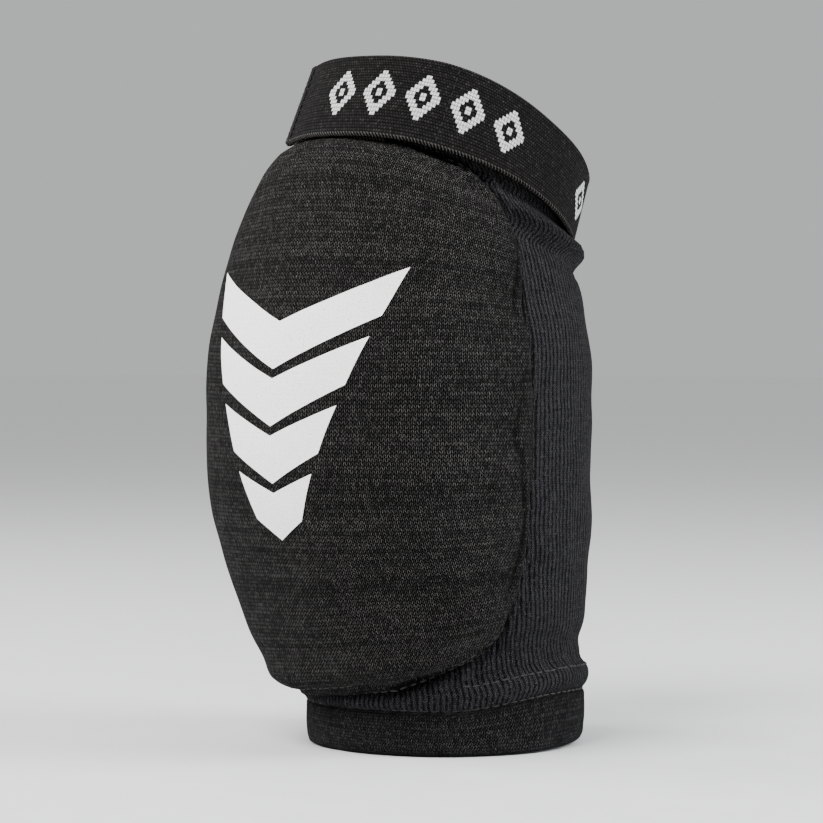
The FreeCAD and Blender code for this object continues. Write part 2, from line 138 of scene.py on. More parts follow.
def smooth_curve(knots, values):
    """A natural cubic through the knots, as a function of numbers or arrays."""
    x = np.asarray(knots, float)
    y = np.asarray(values, float)
    count = len(x)
    gap = np.diff(x)
    matrix = np.eye(count)
    right = np.zeros(count)
    for i in range(1, count - 1):
        matrix[i, i - 1:i + 2] = gap[i - 1], 2 * (gap[i - 1] + gap[i]), gap[i]
        right[i] = 6 * ((y[i + 1] - y[i]) / gap[i] - (y[i] - y[i - 1]) / gap[i - 1])
    bend = np.linalg.solve(matrix, right)

    def at(t):
        t = np.clip(np.asarray(t, float), x[0], x[-1])
        i = np.clip(np.searchsorted(x, t) - 1, 0, count - 2)
        width = x[i + 1] - x[i]
        p = (x[i + 1] - t) / width
        q = 1 - p
        return p * y[i] + q * y[i + 1] + ((p**3 - p) * bend[i] + (q**3 - q) * bend[i + 1]) * width**2 / 6

    return at


def table_curves(table):
    """A curve for every column of a table after its first, which they all run along."""
    columns = list(zip(*table))
    return [smooth_curve(columns[0], column) for column in columns[1:]]


def rotation(degrees, axis):
    """A rotation about one axis, as a 3 x 3 array."""
    return np.array(Matrix.Rotation(math.radians(degrees), 3, axis))


RING_AXES = rotation(RING_TURN, "Z") @ rotation(-RING_LEAN, "X")
RING_ORIGIN = np.array([0.0, 0.0, RING_HEIGHT])
SLEEVE = table_curves(SLEEVE_STATIONS)
PAD = table_curves(PAD_STATIONS)
TOP_HEIGHT = SLEEVE_STATIONS[-1][0]
TOP_SHIFT = (RING_ORIGIN - RING_BELOW * RING_AXES[:, 2])[0]


def ring_to_part(points):
    """Points of the ring frame, as an array (..., 3), in the part's frame."""
    return points @ RING_AXES.T + RING_ORIGIN


def polar(bearing, radius, height):
    """Points in a level or ring frame, from bearings in degrees."""
    angle = np.radians(bearing)
    return np.stack(np.broadcast_arrays(radius * np.sin(angle), -radius * np.cos(angle), height), -1)


def sleeve_radius(bearing, height):
    """Distance from the sleeve's own axis to its outer face, in the leaning plane at a height."""
    _, wide, deep, _ = (curve(height) for curve in SLEEVE)
    angle = np.radians(bearing)
    return 1 / np.sqrt((np.sin(angle) / wide) ** 2 + (np.cos(angle) / deep) ** 2)


def from_sleeve_axis(bearing, radius, height):
    """Points at a bearing and radius, in the leaning plane through the sleeve's axis at a height."""
    bearing, radius, height = np.broadcast_arrays(*(np.asarray(v, float) for v in (bearing, radius, height)))
    share = SLEEVE[3](height)
    lean = np.radians(-RING_LEAN * share)
    turn = np.radians(RING_TURN * share)
    x = radius * np.sin(np.radians(bearing))
    y = -radius * np.cos(np.radians(bearing))
    leaning_y = y * np.cos(lean)
    leaning_z = y * np.sin(lean)
    return np.stack([
        x * np.cos(turn) - leaning_y * np.sin(turn) + TOP_SHIFT * share,
        x * np.sin(turn) + leaning_y * np.cos(turn) + SLEEVE[0](height),
        leaning_z + height,
    ], -1)


def drift(points, scale, seed=0.0):
    """Smooth noise from -1 to 1 at points in millimetres, its features about scale across."""
    flat = points.reshape(-1, 3) / scale + seed
    return np.array([noise.noise(Vector(p)) for p in flat]).reshape(points.shape[:-1])


# bearing either side of the front, and how much the hem's stitch rows ride up there
HEM_RIDE = smooth_curve([0, 30, 50, 68, 88, 130, 180], [0, 0, 0.3, 2.4, 4.3, 3.4, 2.0])


def hem_shift(bearing, height):
    """How much the hem rides up at a bearing and height, in mm."""
    return HEM_RIDE(np.abs(bearing)) * rise(3.0, 13.0, height) * (1 - rise(25.0, 44.0, height))


def rise(start, end, t):
    """0 before start, 1 after end, smooth between."""
    x = np.clip((t - start) / (end - start), 0, 1)
    return x * x * (3 - 2 * x)


def hump(t, centre, width):
    """A smooth hill, 1 high."""
    return np.exp(-(((t - centre) / width) ** 2))


def wrapped(points):
    """A grid with its first column again after its last."""
    return np.concatenate([points, points[:, :1]], 1)


def grid_normals(points, closed):
    """Unit normals of a grid (rows, columns, 3): rows run up, columns anticlockwise seen from above."""
    if closed:
        along = np.roll(points, -1, 1) - np.roll(points, 1, 1)
    else:
        along = np.gradient(points, axis=1)
    up = np.gradient(points, axis=0)
    normal = np.cross(along, up)
    return normal / np.maximum(np.linalg.norm(normal, axis=-1, keepdims=True), 1e-9)


def lengths(points, axis):
    """Running length along one axis of a grid of points."""
    step = np.linalg.norm(np.diff(points, axis=axis), axis=-1)
    zero = np.zeros_like(np.take(step, [0], axis))
    return np.concatenate([zero, np.cumsum(step, axis)], axis)


# ---------------------------------------------------------------- meshes


def link(name, data):
    """A new object in the scene, from a mesh, a light or a camera."""
    piece = bpy.data.objects.new(name, data)
    bpy.context.scene.collection.objects.link(piece)
    return piece


def grid_piece(name, points, uv, closed_across=False, closed_along=False):
    """A quad grid as an object. points is (rows, columns, 3) in mm.

    uv is in mm too, and has one more column or row than points wherever the grid closes on itself.
    """
    rows, columns = points.shape[:2]
    last_row = rows if closed_along else rows - 1
    last_column = columns if closed_across else columns - 1
    i, j = np.meshgrid(np.arange(last_row), np.arange(last_column), indexing="ij")
    corners = [(i, j), (i, j + 1), (i + 1, j + 1), (i + 1, j)]
    faces = np.stack([(a % rows) * columns + b % columns for a, b in corners], -1).reshape(-1, 4)
    mesh = bpy.data.meshes.new(name)
    mesh.from_pydata((points.reshape(-1, 3) * MM).tolist(), [], faces.tolist())
    loops = np.stack([uv[a, b] for a, b in corners], -2).reshape(-1, 2)
    mesh.uv_layers.new(name="weave").data.foreach_set("uv", loops.astype(np.float32).ravel())
    mesh.polygons.foreach_set("use_smooth", np.ones(len(faces), bool))
    mesh.update()
    return link(name, mesh)


def settle(piece, body, slot, material, *nodes):
    """Material, body and the CAD nodes that a piece stands for; slot is not used."""
    piece.data.materials.clear()
    piece.data.materials.append(material)
    if body:
        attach(piece, body)
    if nodes:
        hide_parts(*nodes)
    return piece


def paint_tuck_shade(piece, depth):
    """Keeps how much painted shade each point gets, from 0 to 1, in seam valleys, gathers and pleats; the
    knit's colour is darkened by it.
    """
    layer = piece.data.attributes.new("painted_tuck_shade", "FLOAT", "POINT")
    layer.data.foreach_set("value", np.clip(depth, 0, 1).astype(np.float32).ravel())


def capsule(sides=6, rings=5):
    """A unit stitch along X: points and quad faces of a long rounded bead."""
    points = []
    for ring in range(rings):
        across = math.sin(math.pi * (ring + 0.35) / (rings - 0.3)) ** 0.6
        along = -0.5 + ring / (rings - 1)
        for side in range(sides):
            angle = 2 * math.pi * side / sides
            points.append((along, across * math.cos(angle), across * math.sin(angle)))
    faces = []
    for ring in range(rings - 1):
        for side in range(sides):
            after = (side + 1) % sides
            low, high = ring * sides, (ring + 1) * sides
            faces.append((low + side, low + after, high + after, high + side))
    faces.append(tuple(range(sides))[::-1])
    faces.append(tuple((rings - 1) * sides + side for side in range(sides)))
    return np.array(points), faces


def stitch_mesh(name, rows, length, gap, radius):
    """One mesh of separate stitches. rows is a list of (path, normals), each an array (count, 3) in mm."""
    template, template_faces = capsule()
    points = []
    faces = []
    for path, normals in rows:
        run = lengths(path, 0)
        count = max(2, int(run[-1] / (length + gap)))
        pitch = run[-1] / count
        for k in range(count):
            middle = (k + 0.5) * pitch
            here, before, after = (
                np.array([np.interp(t, run, path[:, axis]) for axis in range(3)])
                for t in (middle, middle - 0.6, middle + 0.6)
            )
            normal = np.array([np.interp(middle, run, normals[:, axis]) for axis in range(3)])
            normal /= np.linalg.norm(normal)
            tangent = after - before
            tangent -= normal * (tangent @ normal)
            tangent /= np.linalg.norm(tangent)
            side = np.cross(normal, tangent)
            wobble = 0.08 * math.sin(2.7 * k)
            tangent, side = tangent + side * wobble, side - tangent * wobble
            size = length * (1 + 0.1 * math.sin(5.3 * k))
            local = template * (size, radius, radius * 0.8)
            faces += [[len(points) * len(template) + v for v in face] for face in template_faces]
            points.append(here + local @ np.stack([tangent, side, normal]) + normal * radius * 0.35)
    mesh = bpy.data.meshes.new(name)
    mesh.from_pydata((np.concatenate(points) * MM).tolist(), [], faces)
    mesh.polygons.foreach_set("use_smooth", np.ones(len(mesh.polygons), bool))
    mesh.update()
    return link(name, mesh)


# ---------------------------------------------------------------- materials


class Graph:
    """Short words for building a material's nodes."""

    def __init__(self, name):
        self.material = bpy.data.materials.new(name)
        self.material.use_nodes = True
        self.nodes = self.material.node_tree.nodes
        self.links = self.material.node_tree.links
        self.shader = self.nodes["Principled BSDF"]

    def put(self, socket, value):
        """Links a socket's value, or sets a plain one."""
        if isinstance(value, bpy.types.NodeSocket):
            self.links.new(value, socket)
        else:
            socket.default_value = value

    def math(self, operation, first, second=0.0, third=None):
        node = self.nodes.new("ShaderNodeMath")
        node.operation = operation
        self.put(node.inputs[0], first)
        self.put(node.inputs[1], second)
        if third is not None:
            self.put(node.inputs[2], third)
        return node.outputs[0]

    def times(self, product, *factors):
        for factor in factors:
            product = self.math("MULTIPLY", product, factor)
        return product

    def scaled(self, value, factor, offset):
        """value times factor, plus offset."""
        return self.math("MULTIPLY_ADD", value, factor, offset)

    def over(self, value, divisor):
        return self.math("DIVIDE", value, divisor)

    def floor(self, value):
        return self.math("FLOOR", value)

    def uv(self):
        """The weave's own millimetres: along and across."""
        node = self.nodes.new("ShaderNodeUVMap")
        node.uv_map = "weave"
        split = self.nodes.new("ShaderNodeSeparateXYZ")
        self.links.new(node.outputs[0], split.inputs[0])
        return split.outputs[0], split.outputs[1]

    def painted_tuck_shade(self):
        """How much painted shade the cloth gets in its tucks, from 0 to 1."""
        node = self.nodes.new("ShaderNodeAttribute")
        node.attribute_name = "painted_tuck_shade"
        return node.outputs["Fac"]

    def point(self):
        return self.nodes.new("ShaderNodeTexCoord").outputs["Object"]

    def join(self, x, y, z=0.0):
        node = self.nodes.new("ShaderNodeCombineXYZ")
        for socket, value in zip(node.inputs, (x, y, z)):
            self.put(socket, value)
        return node.outputs[0]

    def noise(self, where, scale, detail=3.0, rough=0.55):
        node = self.nodes.new("ShaderNodeTexNoise")
        self.put(node.inputs["Vector"], where)
        node.inputs["Scale"].default_value = scale
        node.inputs["Detail"].default_value = detail
        node.inputs["Roughness"].default_value = rough
        return node.outputs[0]

    def cell_random(self, x, y):
        """A random number from 0 to 1 for each pair of whole numbers."""
        node = self.nodes.new("ShaderNodeTexWhiteNoise")
        node.noise_dimensions = "2D"
        self.put(node.inputs["Vector"], self.join(x, y))
        return node.outputs["Value"]

    def spread(self, value, low, high, out_low=0.0, out_high=1.0):
        """Maps low to high onto out_low to out_high, and holds at both ends."""
        node = self.nodes.new("ShaderNodeMapRange")
        for socket, v in zip(node.inputs, (value, low, high, out_low, out_high)):
            self.put(socket, v)
        return node.outputs[0]

    def blend(self, factor, first, second):
        node = self.nodes.new("ShaderNodeMix")
        node.data_type = "RGBA"
        self.put(node.inputs[0], factor)
        for socket, colour in ((node.inputs[6], first), (node.inputs[7], second)):
            self.put(socket, (*colour, 1.0) if isinstance(colour, tuple) else colour)
        return node.outputs[2]

    def wave(self, value, period):
        """0 in the valleys and 1 on the ridges of a row of ridges with this period."""
        turned = self.scaled(value, math.pi / period, 0.0)
        return self.math("ABSOLUTE", self.math("SINE", turned))

    def finish(self, colour, rough, height, distance, sheen=0.0, strength=1.0, specular=0.3):
        self.put(self.shader.inputs["Base Color"], colour)
        self.put(self.shader.inputs["Roughness"], rough)
        self.shader.inputs["Sheen Weight"].default_value = sheen
        self.shader.inputs["Sheen Roughness"].default_value = 0.5
        self.shader.inputs["Specular IOR Level"].default_value = specular
        bump = self.nodes.new("ShaderNodeBump")
        bump.inputs["Strength"].default_value = strength
        bump.inputs["Distance"].default_value = distance * MM
        self.links.new(height, bump.inputs["Height"])
        self.links.new(bump.outputs[0], self.shader.inputs["Normal"])
        return self.material


def stitch_cells(g, u, v, wide, tall, waver, narrow, parted):
    """Knit loops: every stitch is two strokes that lean apart. Gives their height and a random number each.

    narrow is half a stroke's width as a share of the stitch; parted is how deep the gap between courses is.
    """
    column = g.over(g.scaled(waver, 0.8, u), wide)
    course = g.over(g.scaled(waver, 0.9, v), tall)
    from_middle = g.math("ABSOLUTE", g.math("SUBTRACT", g.math("FRACT", column), 0.5))
    up = g.math("FRACT", course)
    stroke_at = g.scaled(up, 0.24, 0.13)
    off = g.over(g.math("SUBTRACT", from_middle, stroke_at), narrow)
    stroke = g.math("MAXIMUM", g.math("SUBTRACT", 1.0, g.times(off, off)), 0.0)
    ends = g.math("POWER", g.math("SINE", g.times(up, math.pi)), 0.5)
    ends = g.scaled(ends, parted, 1.0 - parted)
    random = g.cell_random(g.floor(g.times(column, 2.0)), g.floor(course))
    return g.times(stroke, ends), random


def knit(name, wide, tall, rib, dark, light, fleck, bump, narrow, parted, course_share=0.0):
    """Knitted cotton and elastic. wide and tall are one stitch; rib is the pitch of soft upright ribs, or 0.

    course_share is how much the courses differ from each other in tone.
    """
    g = Graph(name)
    u, v = g.uv()
    where = g.join(u, v)
    waver = g.math("SUBTRACT", g.noise(where, 0.45, 2.0), 0.5)
    stitch, random = stitch_cells(g, u, v, wide, tall, waver, narrow, parted)
    fuzz = g.noise(where, 2.6, 4.0, 0.7)
    slub = g.noise(g.join(g.times(u, 0.12), v), 0.9, 2.0)
    course = g.cell_random(g.floor(g.over(v, tall)), 7.0)
    tone = g.times(
        stitch,
        g.scaled(random, 0.65, 0.55),
        g.spread(slub, 0.35, 0.65, 0.85, 1.13),
        g.spread(fuzz, 0.35, 0.65, 0.6, 1.35),
        g.spread(course, 0.0, 1.0, 1.15 - course_share, 1.15),
    )
    height = g.scaled(fuzz, 0.35, stitch)
    if rib:
        ribs = g.math("POWER", g.wave(g.scaled(waver, 0.8, u), rib), 0.6)
        height = g.scaled(ribs, 1.1, height)
        tone = g.times(tone, g.spread(ribs, 0.25, 1.0, 0.1, 1.35))
    # Painted shade: the knit is darkened by up to 95 percent by the tuck attribute, for shade in the seam
    # valleys, gathers and pleats.
    tone = g.times(tone, g.scaled(g.painted_tuck_shade(), -0.95, 1.0))
    tone = g.math("POWER", tone, 1.6)
    patchy = g.spread(g.noise(where, 0.05, 3.0), 0.3, 0.7, 0.92, 1.06)
    colour = g.blend(g.times(tone, patchy), dark, light)
    bright = g.times(g.spread(random, 0.80, 1.0), g.spread(fuzz, 0.45, 0.65))
    colour = g.blend(g.times(bright, stitch), colour, fleck)
    rough = g.spread(fuzz, 0.2, 0.8, 0.82, 0.98)
    return g.finish(colour, rough, height, bump, sheen=0.002, specular=0.035)


def ink():
    """Silver screen print on the stitches' tops, grainy with metal flakes; it misses the deepest gaps."""
    g = Graph("silver_print")
    u, v = g.uv()
    where = g.join(u, v)
    waver = g.math("SUBTRACT", g.noise(where, 0.45, 2.0), 0.5)
    stitch, random = stitch_cells(g, u, v, 1.2, 1.4, waver, 0.2, 0.8)
    grain = g.noise(where, 1.5, 5.0, 0.85)
    height = g.scaled(stitch, 0.5, grain)
    silver = g.blend(g.spread(grain, 0.38, 0.58), (0.80, 0.795, 0.785), (1.0, 0.995, 0.985))
    gap = g.times(g.spread(stitch, 0.2, 0.0), g.spread(grain, 0.52, 0.38))
    colour = g.blend(g.times(gap, g.spread(random, 0.2, 0.9)), silver, (0.22, 0.22, 0.22))
    worn = g.spread(g.noise(where, 0.12, 3.0), 0.4, 0.75, 0.0, 0.3)
    colour = g.blend(worn, colour, (0.84, 0.84, 0.835))
    return g.finish(colour, g.spread(grain, 0.2, 0.8, 0.5, 0.75), height, 0.14, specular=0.35)


def motif_mask(g, u, v):
    """Hollow diamonds with a dot inside, woven in whole stitches, in groups along the strap."""
    stitch_u, stitch_v = 0.95, 1.15
    half_length, half_height = 6.6, 7.0
    column = g.scaled(g.floor(g.over(u, stitch_u)), stitch_u, stitch_u / 2)
    row = g.scaled(g.floor(g.over(v, stitch_v)), stitch_v, stitch_v / 2)
    place = g.math("FLOORED_MODULO", g.math("SUBTRACT", column, MOTIF_START), MOTIF_REPEAT)
    inside_group = g.math("LESS_THAN", place, MOTIF_PITCH * MOTIF_COUNT)
    from_centre = g.math("SUBTRACT", g.math("FLOORED_MODULO", place, MOTIF_PITCH), MOTIF_PITCH / 2)
    along = g.over(g.math("ABSOLUTE", from_centre), half_length)
    up = g.over(g.math("ABSOLUTE", row), half_height)
    far = g.math("ADD", along, up)
    outline = g.times(g.math("LESS_THAN", far, 1.0), g.math("GREATER_THAN", far, 0.56))
    dot = g.math("LESS_THAN", far, 0.2)
    shape = g.times(g.math("MAXIMUM", outline, dot), inside_group)
    bead = g.times(g.wave(u, stitch_u), g.wave(v, stitch_v))
    return shape, bead


def webbing(name):
    """Woven elastic strap: rows of fine picks along it, whipped edges, and a light woven pattern."""
    pick_length, pick_pitch, whip_pitch, whip_width = 0.95, 0.88, 1.15, 0.95
    g = Graph(name)
    u, v = g.uv()
    where = g.join(u, v)
    row = g.floor(g.over(v, pick_pitch))
    along = g.scaled(row, 0.5, g.over(u, pick_length))
    pick = g.math("ABSOLUTE", g.math("SINE", g.times(along, math.pi)))
    weave = g.times(pick, g.wave(v, pick_pitch))
    random = g.cell_random(g.floor(along), row)
    fuzz = g.noise(where, 2.5, 4.0, 0.7)
    height = g.scaled(fuzz, 0.3, weave)
    band_tone = g.spread(g.wave(v, 2 * pick_pitch), 0.0, 1.0, 0.45, 1.1)
    tone = g.times(weave, band_tone, g.scaled(random, 0.6, 0.4))
    colour = g.blend(tone, (0.0010, 0.0009, 0.0009), (0.021, 0.0192, 0.0188))
    speck = g.times(g.spread(random, 0.86, 1.0), g.spread(fuzz, 0.45, 0.65))
    colour = g.blend(g.times(speck, weave), colour, (0.052, 0.048, 0.046))
    edge = g.spread(g.math("ABSOLUTE", v), STRAP_WIDTH / 2 - whip_width, STRAP_WIDTH / 2 - 0.7)
    whip = g.wave(g.math("ADD", u, v), whip_pitch)
    whipped = g.times(edge, g.spread(whip, 0.80, 0.98))
    low_edge = g.spread(v, -2.0, 2.0, 0.85, 0.3)
    colour = g.blend(g.times(whipped, low_edge), colour, (0.085, 0.079, 0.073))
    height = g.scaled(g.times(whip, edge), 0.7, height)
    shape, bead = motif_mask(g, u, v)
    yarn = g.blend(g.spread(bead, 0.05, 0.5), (0.14, 0.14, 0.14), (0.62, 0.615, 0.61))
    yarn = g.blend(g.spread(fuzz, 0.35, 0.65, 0.0, 0.35), yarn, (0.32, 0.32, 0.315))
    colour = g.blend(shape, colour, yarn)
    height = g.scaled(g.times(shape, bead), 0.8, height)
    return g.finish(colour, g.spread(fuzz, 0.2, 0.8, 0.75, 0.95), height, 0.2, sheen=0.004, specular=0.05)


def pile(name, dark, light, scale, distance):
    """Loop pile or hook tape: a mat of tiny round tips."""
    g = Graph(name)
    where = g.point()
    cells = g.nodes.new("ShaderNodeTexVoronoi")
    cells.inputs["Scale"].default_value = scale
    g.links.new(where, cells.inputs["Vector"])
    tips = g.spread(cells.outputs["Distance"], 0.0, 0.6, 1.0, 0.0)
    fuzz = g.noise(where, scale * 2.0, 3.0)
    height = g.scaled(fuzz, 0.4, tips)
    colour = g.blend(g.spread(height, 0.3, 1.2), dark, light)
    return g.finish(colour, g.spread(fuzz, 0.3, 0.7, 0.6, 0.95), height, distance, sheen=0.03, specular=0.12)


def thread_material(name, dark, light):
    """Twisted polyester thread."""
    g = Graph(name)
    where = g.point()
    fibre = g.noise(where, 1800.0, 3.0)
    shade = g.noise(where, 90.0, 2.0)
    colour = g.blend(g.spread(g.scaled(shade, 0.6, fibre), 0.5, 1.1), dark, light)
    return g.finish(colour, g.spread(fibre, 0.3, 0.7, 0.5, 0.75), fibre, 0.08, sheen=0.02, specular=0.15)


def elastic_material():
    """Natural rubber and cotton elastic: lengthwise ridges round the band."""
    g = Graph("woven_elastic")
    split = g.nodes.new("ShaderNodeSeparateXYZ")
    where = g.point()
    g.links.new(where, split.inputs[0])
    ridge = g.wave(split.outputs[2], 0.0011)
    fuzz = g.noise(where, 900.0, 3.0)
    height = g.scaled(fuzz, 0.4, ridge)
    colour = g.blend(g.spread(height, 0.3, 1.2), (0.35, 0.33, 0.30), (0.62, 0.60, 0.56))
    return g.finish(colour, g.spread(fuzz, 0.2, 0.8, 0.7, 0.9), height, 0.2)


PAD_KNIT = knit(
    "pad_knit", wide=1.35, tall=1.3, rib=0,
    dark=(0.0005, 0.0004, 0.0004), light=(0.080, 0.0765, 0.0745), fleck=(0.125, 0.117, 0.111),
    bump=0.55, narrow=0.155, parted=0.65, course_share=0.35)
SLEEVE_KNIT = knit(
    "sleeve_knit", wide=1.0, tall=0.8, rib=2.0,
    dark=(0.0010, 0.0009, 0.0012), light=(0.056, 0.0538, 0.0592), fleck=(0.100, 0.097, 0.104),
    bump=0.4, narrow=0.20, parted=0.4)
CUFF_KNIT = knit(
    "cuff_knit", wide=1.15, tall=1.0, rib=0,
    dark=(0.0005, 0.0005, 0.0005), light=(0.056, 0.054, 0.0563), fleck=(0.100, 0.096, 0.099),
    bump=0.45, narrow=0.16, parted=0.6, course_share=0.3)
INK = ink()
WEBBING = webbing("strap_webbing")
LOOP_PILE = pile("loop_pile", (0.006, 0.006, 0.006), (0.055, 0.053, 0.053), 1100.0, 0.5)
HOOK_TAPE = pile("hook_tape", (0.004, 0.004, 0.0045), (0.045, 0.045, 0.048), 800.0, 0.7)
THREAD = thread_material("black_thread", (0.008, 0.008, 0.008), (0.060, 0.057, 0.055))
BLACK_THREAD = thread_material("dark_thread", (0.0008, 0.0008, 0.0008), (0.008, 0.0075, 0.0075))
PALE_THREAD = thread_material("grey_thread", (0.040, 0.038, 0.037), (0.15, 0.145, 0.14))
ELASTIC = elastic_material()


def sew(name, rows, length, gap, radius, material=THREAD, node=None, body="sleeve"):
    """Rows of stitches as one piece, and the CAD node that it stands for."""
    piece = stitch_mesh(name, rows, length, gap, radius)
    return settle(piece, body, "sewing_thread", material, *([node] if node else []))


# ---------------------------------------------------------------- pad


def pad_radius(bearings, heights):
    """Distance from the sleeve's axis to the pad's face at every height and bearing, or 0 outside it."""
    step = 0.5
    reach = np.arange(25.0, 110.0, step)
    centre_x, centre_y, wide, front, back, square = (curve(heights)[:, None, None] for curve in PAD)
    angle = np.radians(bearings)[:, None]
    x = reach * np.sin(angle) - centre_x
    y = -reach * np.cos(angle) - centre_y
    deep = np.where(y < 0, front, back)
    level = np.abs(x / wide) ** square + np.abs(y / deep) ** square - 1
    inside = level < 0
    last = inside.shape[2] - 1 - np.argmax(inside[:, :, ::-1], axis=2)
    last = np.clip(last, 0, len(reach) - 2)
    a = np.take_along_axis(level, last[..., None], 2)[..., 0]
    b = np.take_along_axis(level, last[..., None] + 1, 2)[..., 0]
    exact = reach[last] + step * np.clip(a / np.where(a == b, 1, a - b), 0, 1)
    return np.where(inside.any(axis=2), exact, 0)


def pad_skew(bearing, height):
    """How far the pad's lower end is pulled down on one side and up on the other."""
    return PAD_SKEW * np.sin(np.radians(bearing)) * (1 - rise(30.0, 95.0, height))


def pad_rows(count):
    """Heights of the pad grid's rows, closer together towards both ends of the pad."""
    low_band, high_band = 8.0, 5.0
    fine = count // 5 + 1
    closing = 1 - np.cos(np.linspace(0, math.pi / 2, fine))
    return np.concatenate([
        PAD_LOW + closing * low_band,
        np.linspace(PAD_LOW + low_band, PAD_HIGH - high_band, count - 2 * fine + 2)[1:-1],
        PAD_HIGH - high_band * closing[::-1],
    ])


def pad_grid(rows, columns, fullness=1.0):
    """The pad cover's face as a grid from its left seam to its right, and the sleeve's face below it."""
    seam_depth, end_closing = 1.7, 0.012
    steps = pad_rows(rows)
    bearings = np.linspace(-89, 89, 357)
    heights = steps[:, None] + pad_skew(bearings, steps[:, None])
    sleeve = sleeve_radius(bearings, heights)
    proud = pad_radius(bearings, steps) - sleeve
    round_low = np.sqrt(1 - np.clip((PAD_LOW + PAD_LOW_ROUND - steps) / PAD_LOW_ROUND, 0, 1) ** 2)
    round_high = np.sqrt(1 - np.clip((steps - PAD_HIGH + PAD_HIGH_ROUND) / PAD_HIGH_ROUND, 0, 1) ** 2)
    closing = (round_low * round_high)[:, None]
    face = np.zeros((rows, columns, 3))
    base = np.zeros((rows, columns, 3))
    middle = len(bearings) // 2
    for i in range(rows):
        open_left = middle - np.argmax(proud[i, middle::-1] < 0)
        open_right = middle + np.argmax(proud[i, middle:] < 0)
        left = slice(open_left, open_left + 2)
        right = slice(open_right, open_right - 2, -1)
        edge_left = np.interp(0, proud[i, left], bearings[left])
        edge_right = -np.interp(0, proud[i, right], -bearings[right])
        fine = np.linspace(edge_left, edge_right, 400)
        out = np.maximum(np.interp(fine, bearings, proud[i]), 0) * closing[i] * fullness
        out[[0, -1]] = -seam_depth
        height = np.interp(fine, bearings, heights[i])
        ground = sleeve_radius(fine, height)
        line = from_sleeve_axis(fine, ground + out, height)
        run = lengths(line, 0)
        order = np.arange(len(fine))
        where = np.interp(np.linspace(0, run[-1], columns), run, order)
        picked, lift, level = (np.interp(where, order, values) for values in (fine, out, height))
        ground = sleeve_radius(picked, level)
        face[i] = from_sleeve_axis(picked, ground + lift, level)
        base[i] = from_sleeve_axis(picked, ground, level)
    for end, height in ((0, PAD_LOW), (-1, PAD_HIGH)):
        face[end] = base[end] + (from_sleeve_axis(0, 0, height) - base[end]) * end_closing
    return face, base


def swell(points, limit):
    """Blows a coarse grid up as cloth sewn down along its border. Gives how far each point moved, in mm.

    The cloth is too large for its grid in the middle and fits tightly beside the seam.
    """
    steps = 20
    rows, columns = points.shape[:2]
    piece = grid_piece("swelling", points, np.zeros((rows, columns, 2)))
    edge = np.zeros((rows, columns), bool)
    edge[[0, 1, -2, -1]] = True
    edge[:, [0, 1, -2, -1]] = True
    pinned = piece.vertex_groups.new(name="pinned")
    pinned.add(np.flatnonzero(edge.ravel()).tolist(), 1.0, "REPLACE")
    tight = piece.vertex_groups.new(name="tight")
    row, column = np.indices((rows, columns))
    inset = np.minimum(np.minimum(row, rows - 1 - row), np.minimum(column, columns - 1 - column))
    for index, weight in enumerate((1 - rise(3, 12, inset)).ravel()):
        tight.add([index], float(weight), "REPLACE")
    cloth = piece.modifiers.new("cloth", "CLOTH")
    settings = cloth.settings
    settings.quality = 6
    settings.mass = 0.15
    settings.tension_stiffness = 12
    settings.compression_stiffness = 12
    settings.shear_stiffness = 6
    settings.bending_stiffness = 2
    settings.vertex_group_mass = "pinned"
    settings.vertex_group_shrink = "tight"
    settings.shrink_min = -CLOTH_SLACK
    settings.shrink_max = 0
    settings.use_pressure = True
    settings.uniform_pressure_force = 4
    settings.effector_weights.gravity = 0
    cloth.point_cache.frame_start = 1
    cloth.point_cache.frame_end = steps
    scene = bpy.context.scene
    for step in range(1, steps + 1):
        scene.frame_set(step)
    evaluated = piece.evaluated_get(bpy.context.evaluated_depsgraph_get())
    moved = np.array([v.co for v in evaluated.data.vertices]).reshape(rows, columns, 3) / MM - points
    scene.frame_set(1)
    bpy.data.objects.remove(piece)
    size = np.linalg.norm(moved, axis=-1, keepdims=True)
    return moved * np.minimum(1, limit / np.maximum(size, 1e-6))


def enlarge(field, rows, columns):
    """A coarse field (rows, columns, 3) on a finer grid, smoothly."""
    def stretch(values, count):
        knots = np.linspace(0, 1, values.shape[0])
        fine = np.linspace(0, 1, count)
        flat = values.reshape(values.shape[0], -1)
        out = np.stack([smooth_curve(knots, flat[:, k])(fine) for k in range(flat.shape[1])], -1)
        return out.reshape((count,) + values.shape[1:])
    tall = stretch(field, rows)
    return stretch(tall.transpose(1, 0, 2), columns).transpose(1, 0, 2)


def edge_distance(points, border):
    """Distance of every point to the nearest border point, in mm."""
    flat = points.reshape(-1, 3)
    parts = np.array_split(flat, 60)
    out = np.concatenate([np.sqrt(((part[:, None] - border[None]) ** 2).sum(-1).min(1)) for part in parts])
    return out.reshape(points.shape[:-1])


def border_of(grid):
    """The rim of a grid as one closed path."""
    return np.concatenate([grid[0], grid[1:, -1], grid[-1, -2::-1], grid[-2:0:-1, 0]])


def slits(t, width):
    """1 in narrow valleys at every whole number, 0 between."""
    return hump(t - np.round(t), 0, width)


def pad_gathers(face, inward, across, upright, stir):
    """Creases that follow the seam up the pad's sides, and short slits across it at the lower sides."""
    gathers = np.zeros_like(inward)
    for row, (inset, strength) in enumerate(PAD_GATHERS):
        patch = rise(-0.5, 0.05, drift(face * (1, 1, 0.35), 12.0, 8.0 + 13 * row))
        gathers += strength * patch * hump(inward, inset + (1.0 + 0.4 * row) * stir, 1.15)
    gathers = gathers * upright * rise(180.0, 160.0, face[..., 2])
    patch = rise(-0.5, 0.0, drift(face, 11.0, 8.0))
    lower_side = (1 - upright) * rise(18.0, 30.0, np.abs(across))
    return gathers + slits(across / 3.3 + 0.7 * stir, 0.17) * patch * hump(inward, 5.0, 4.2) * lower_side


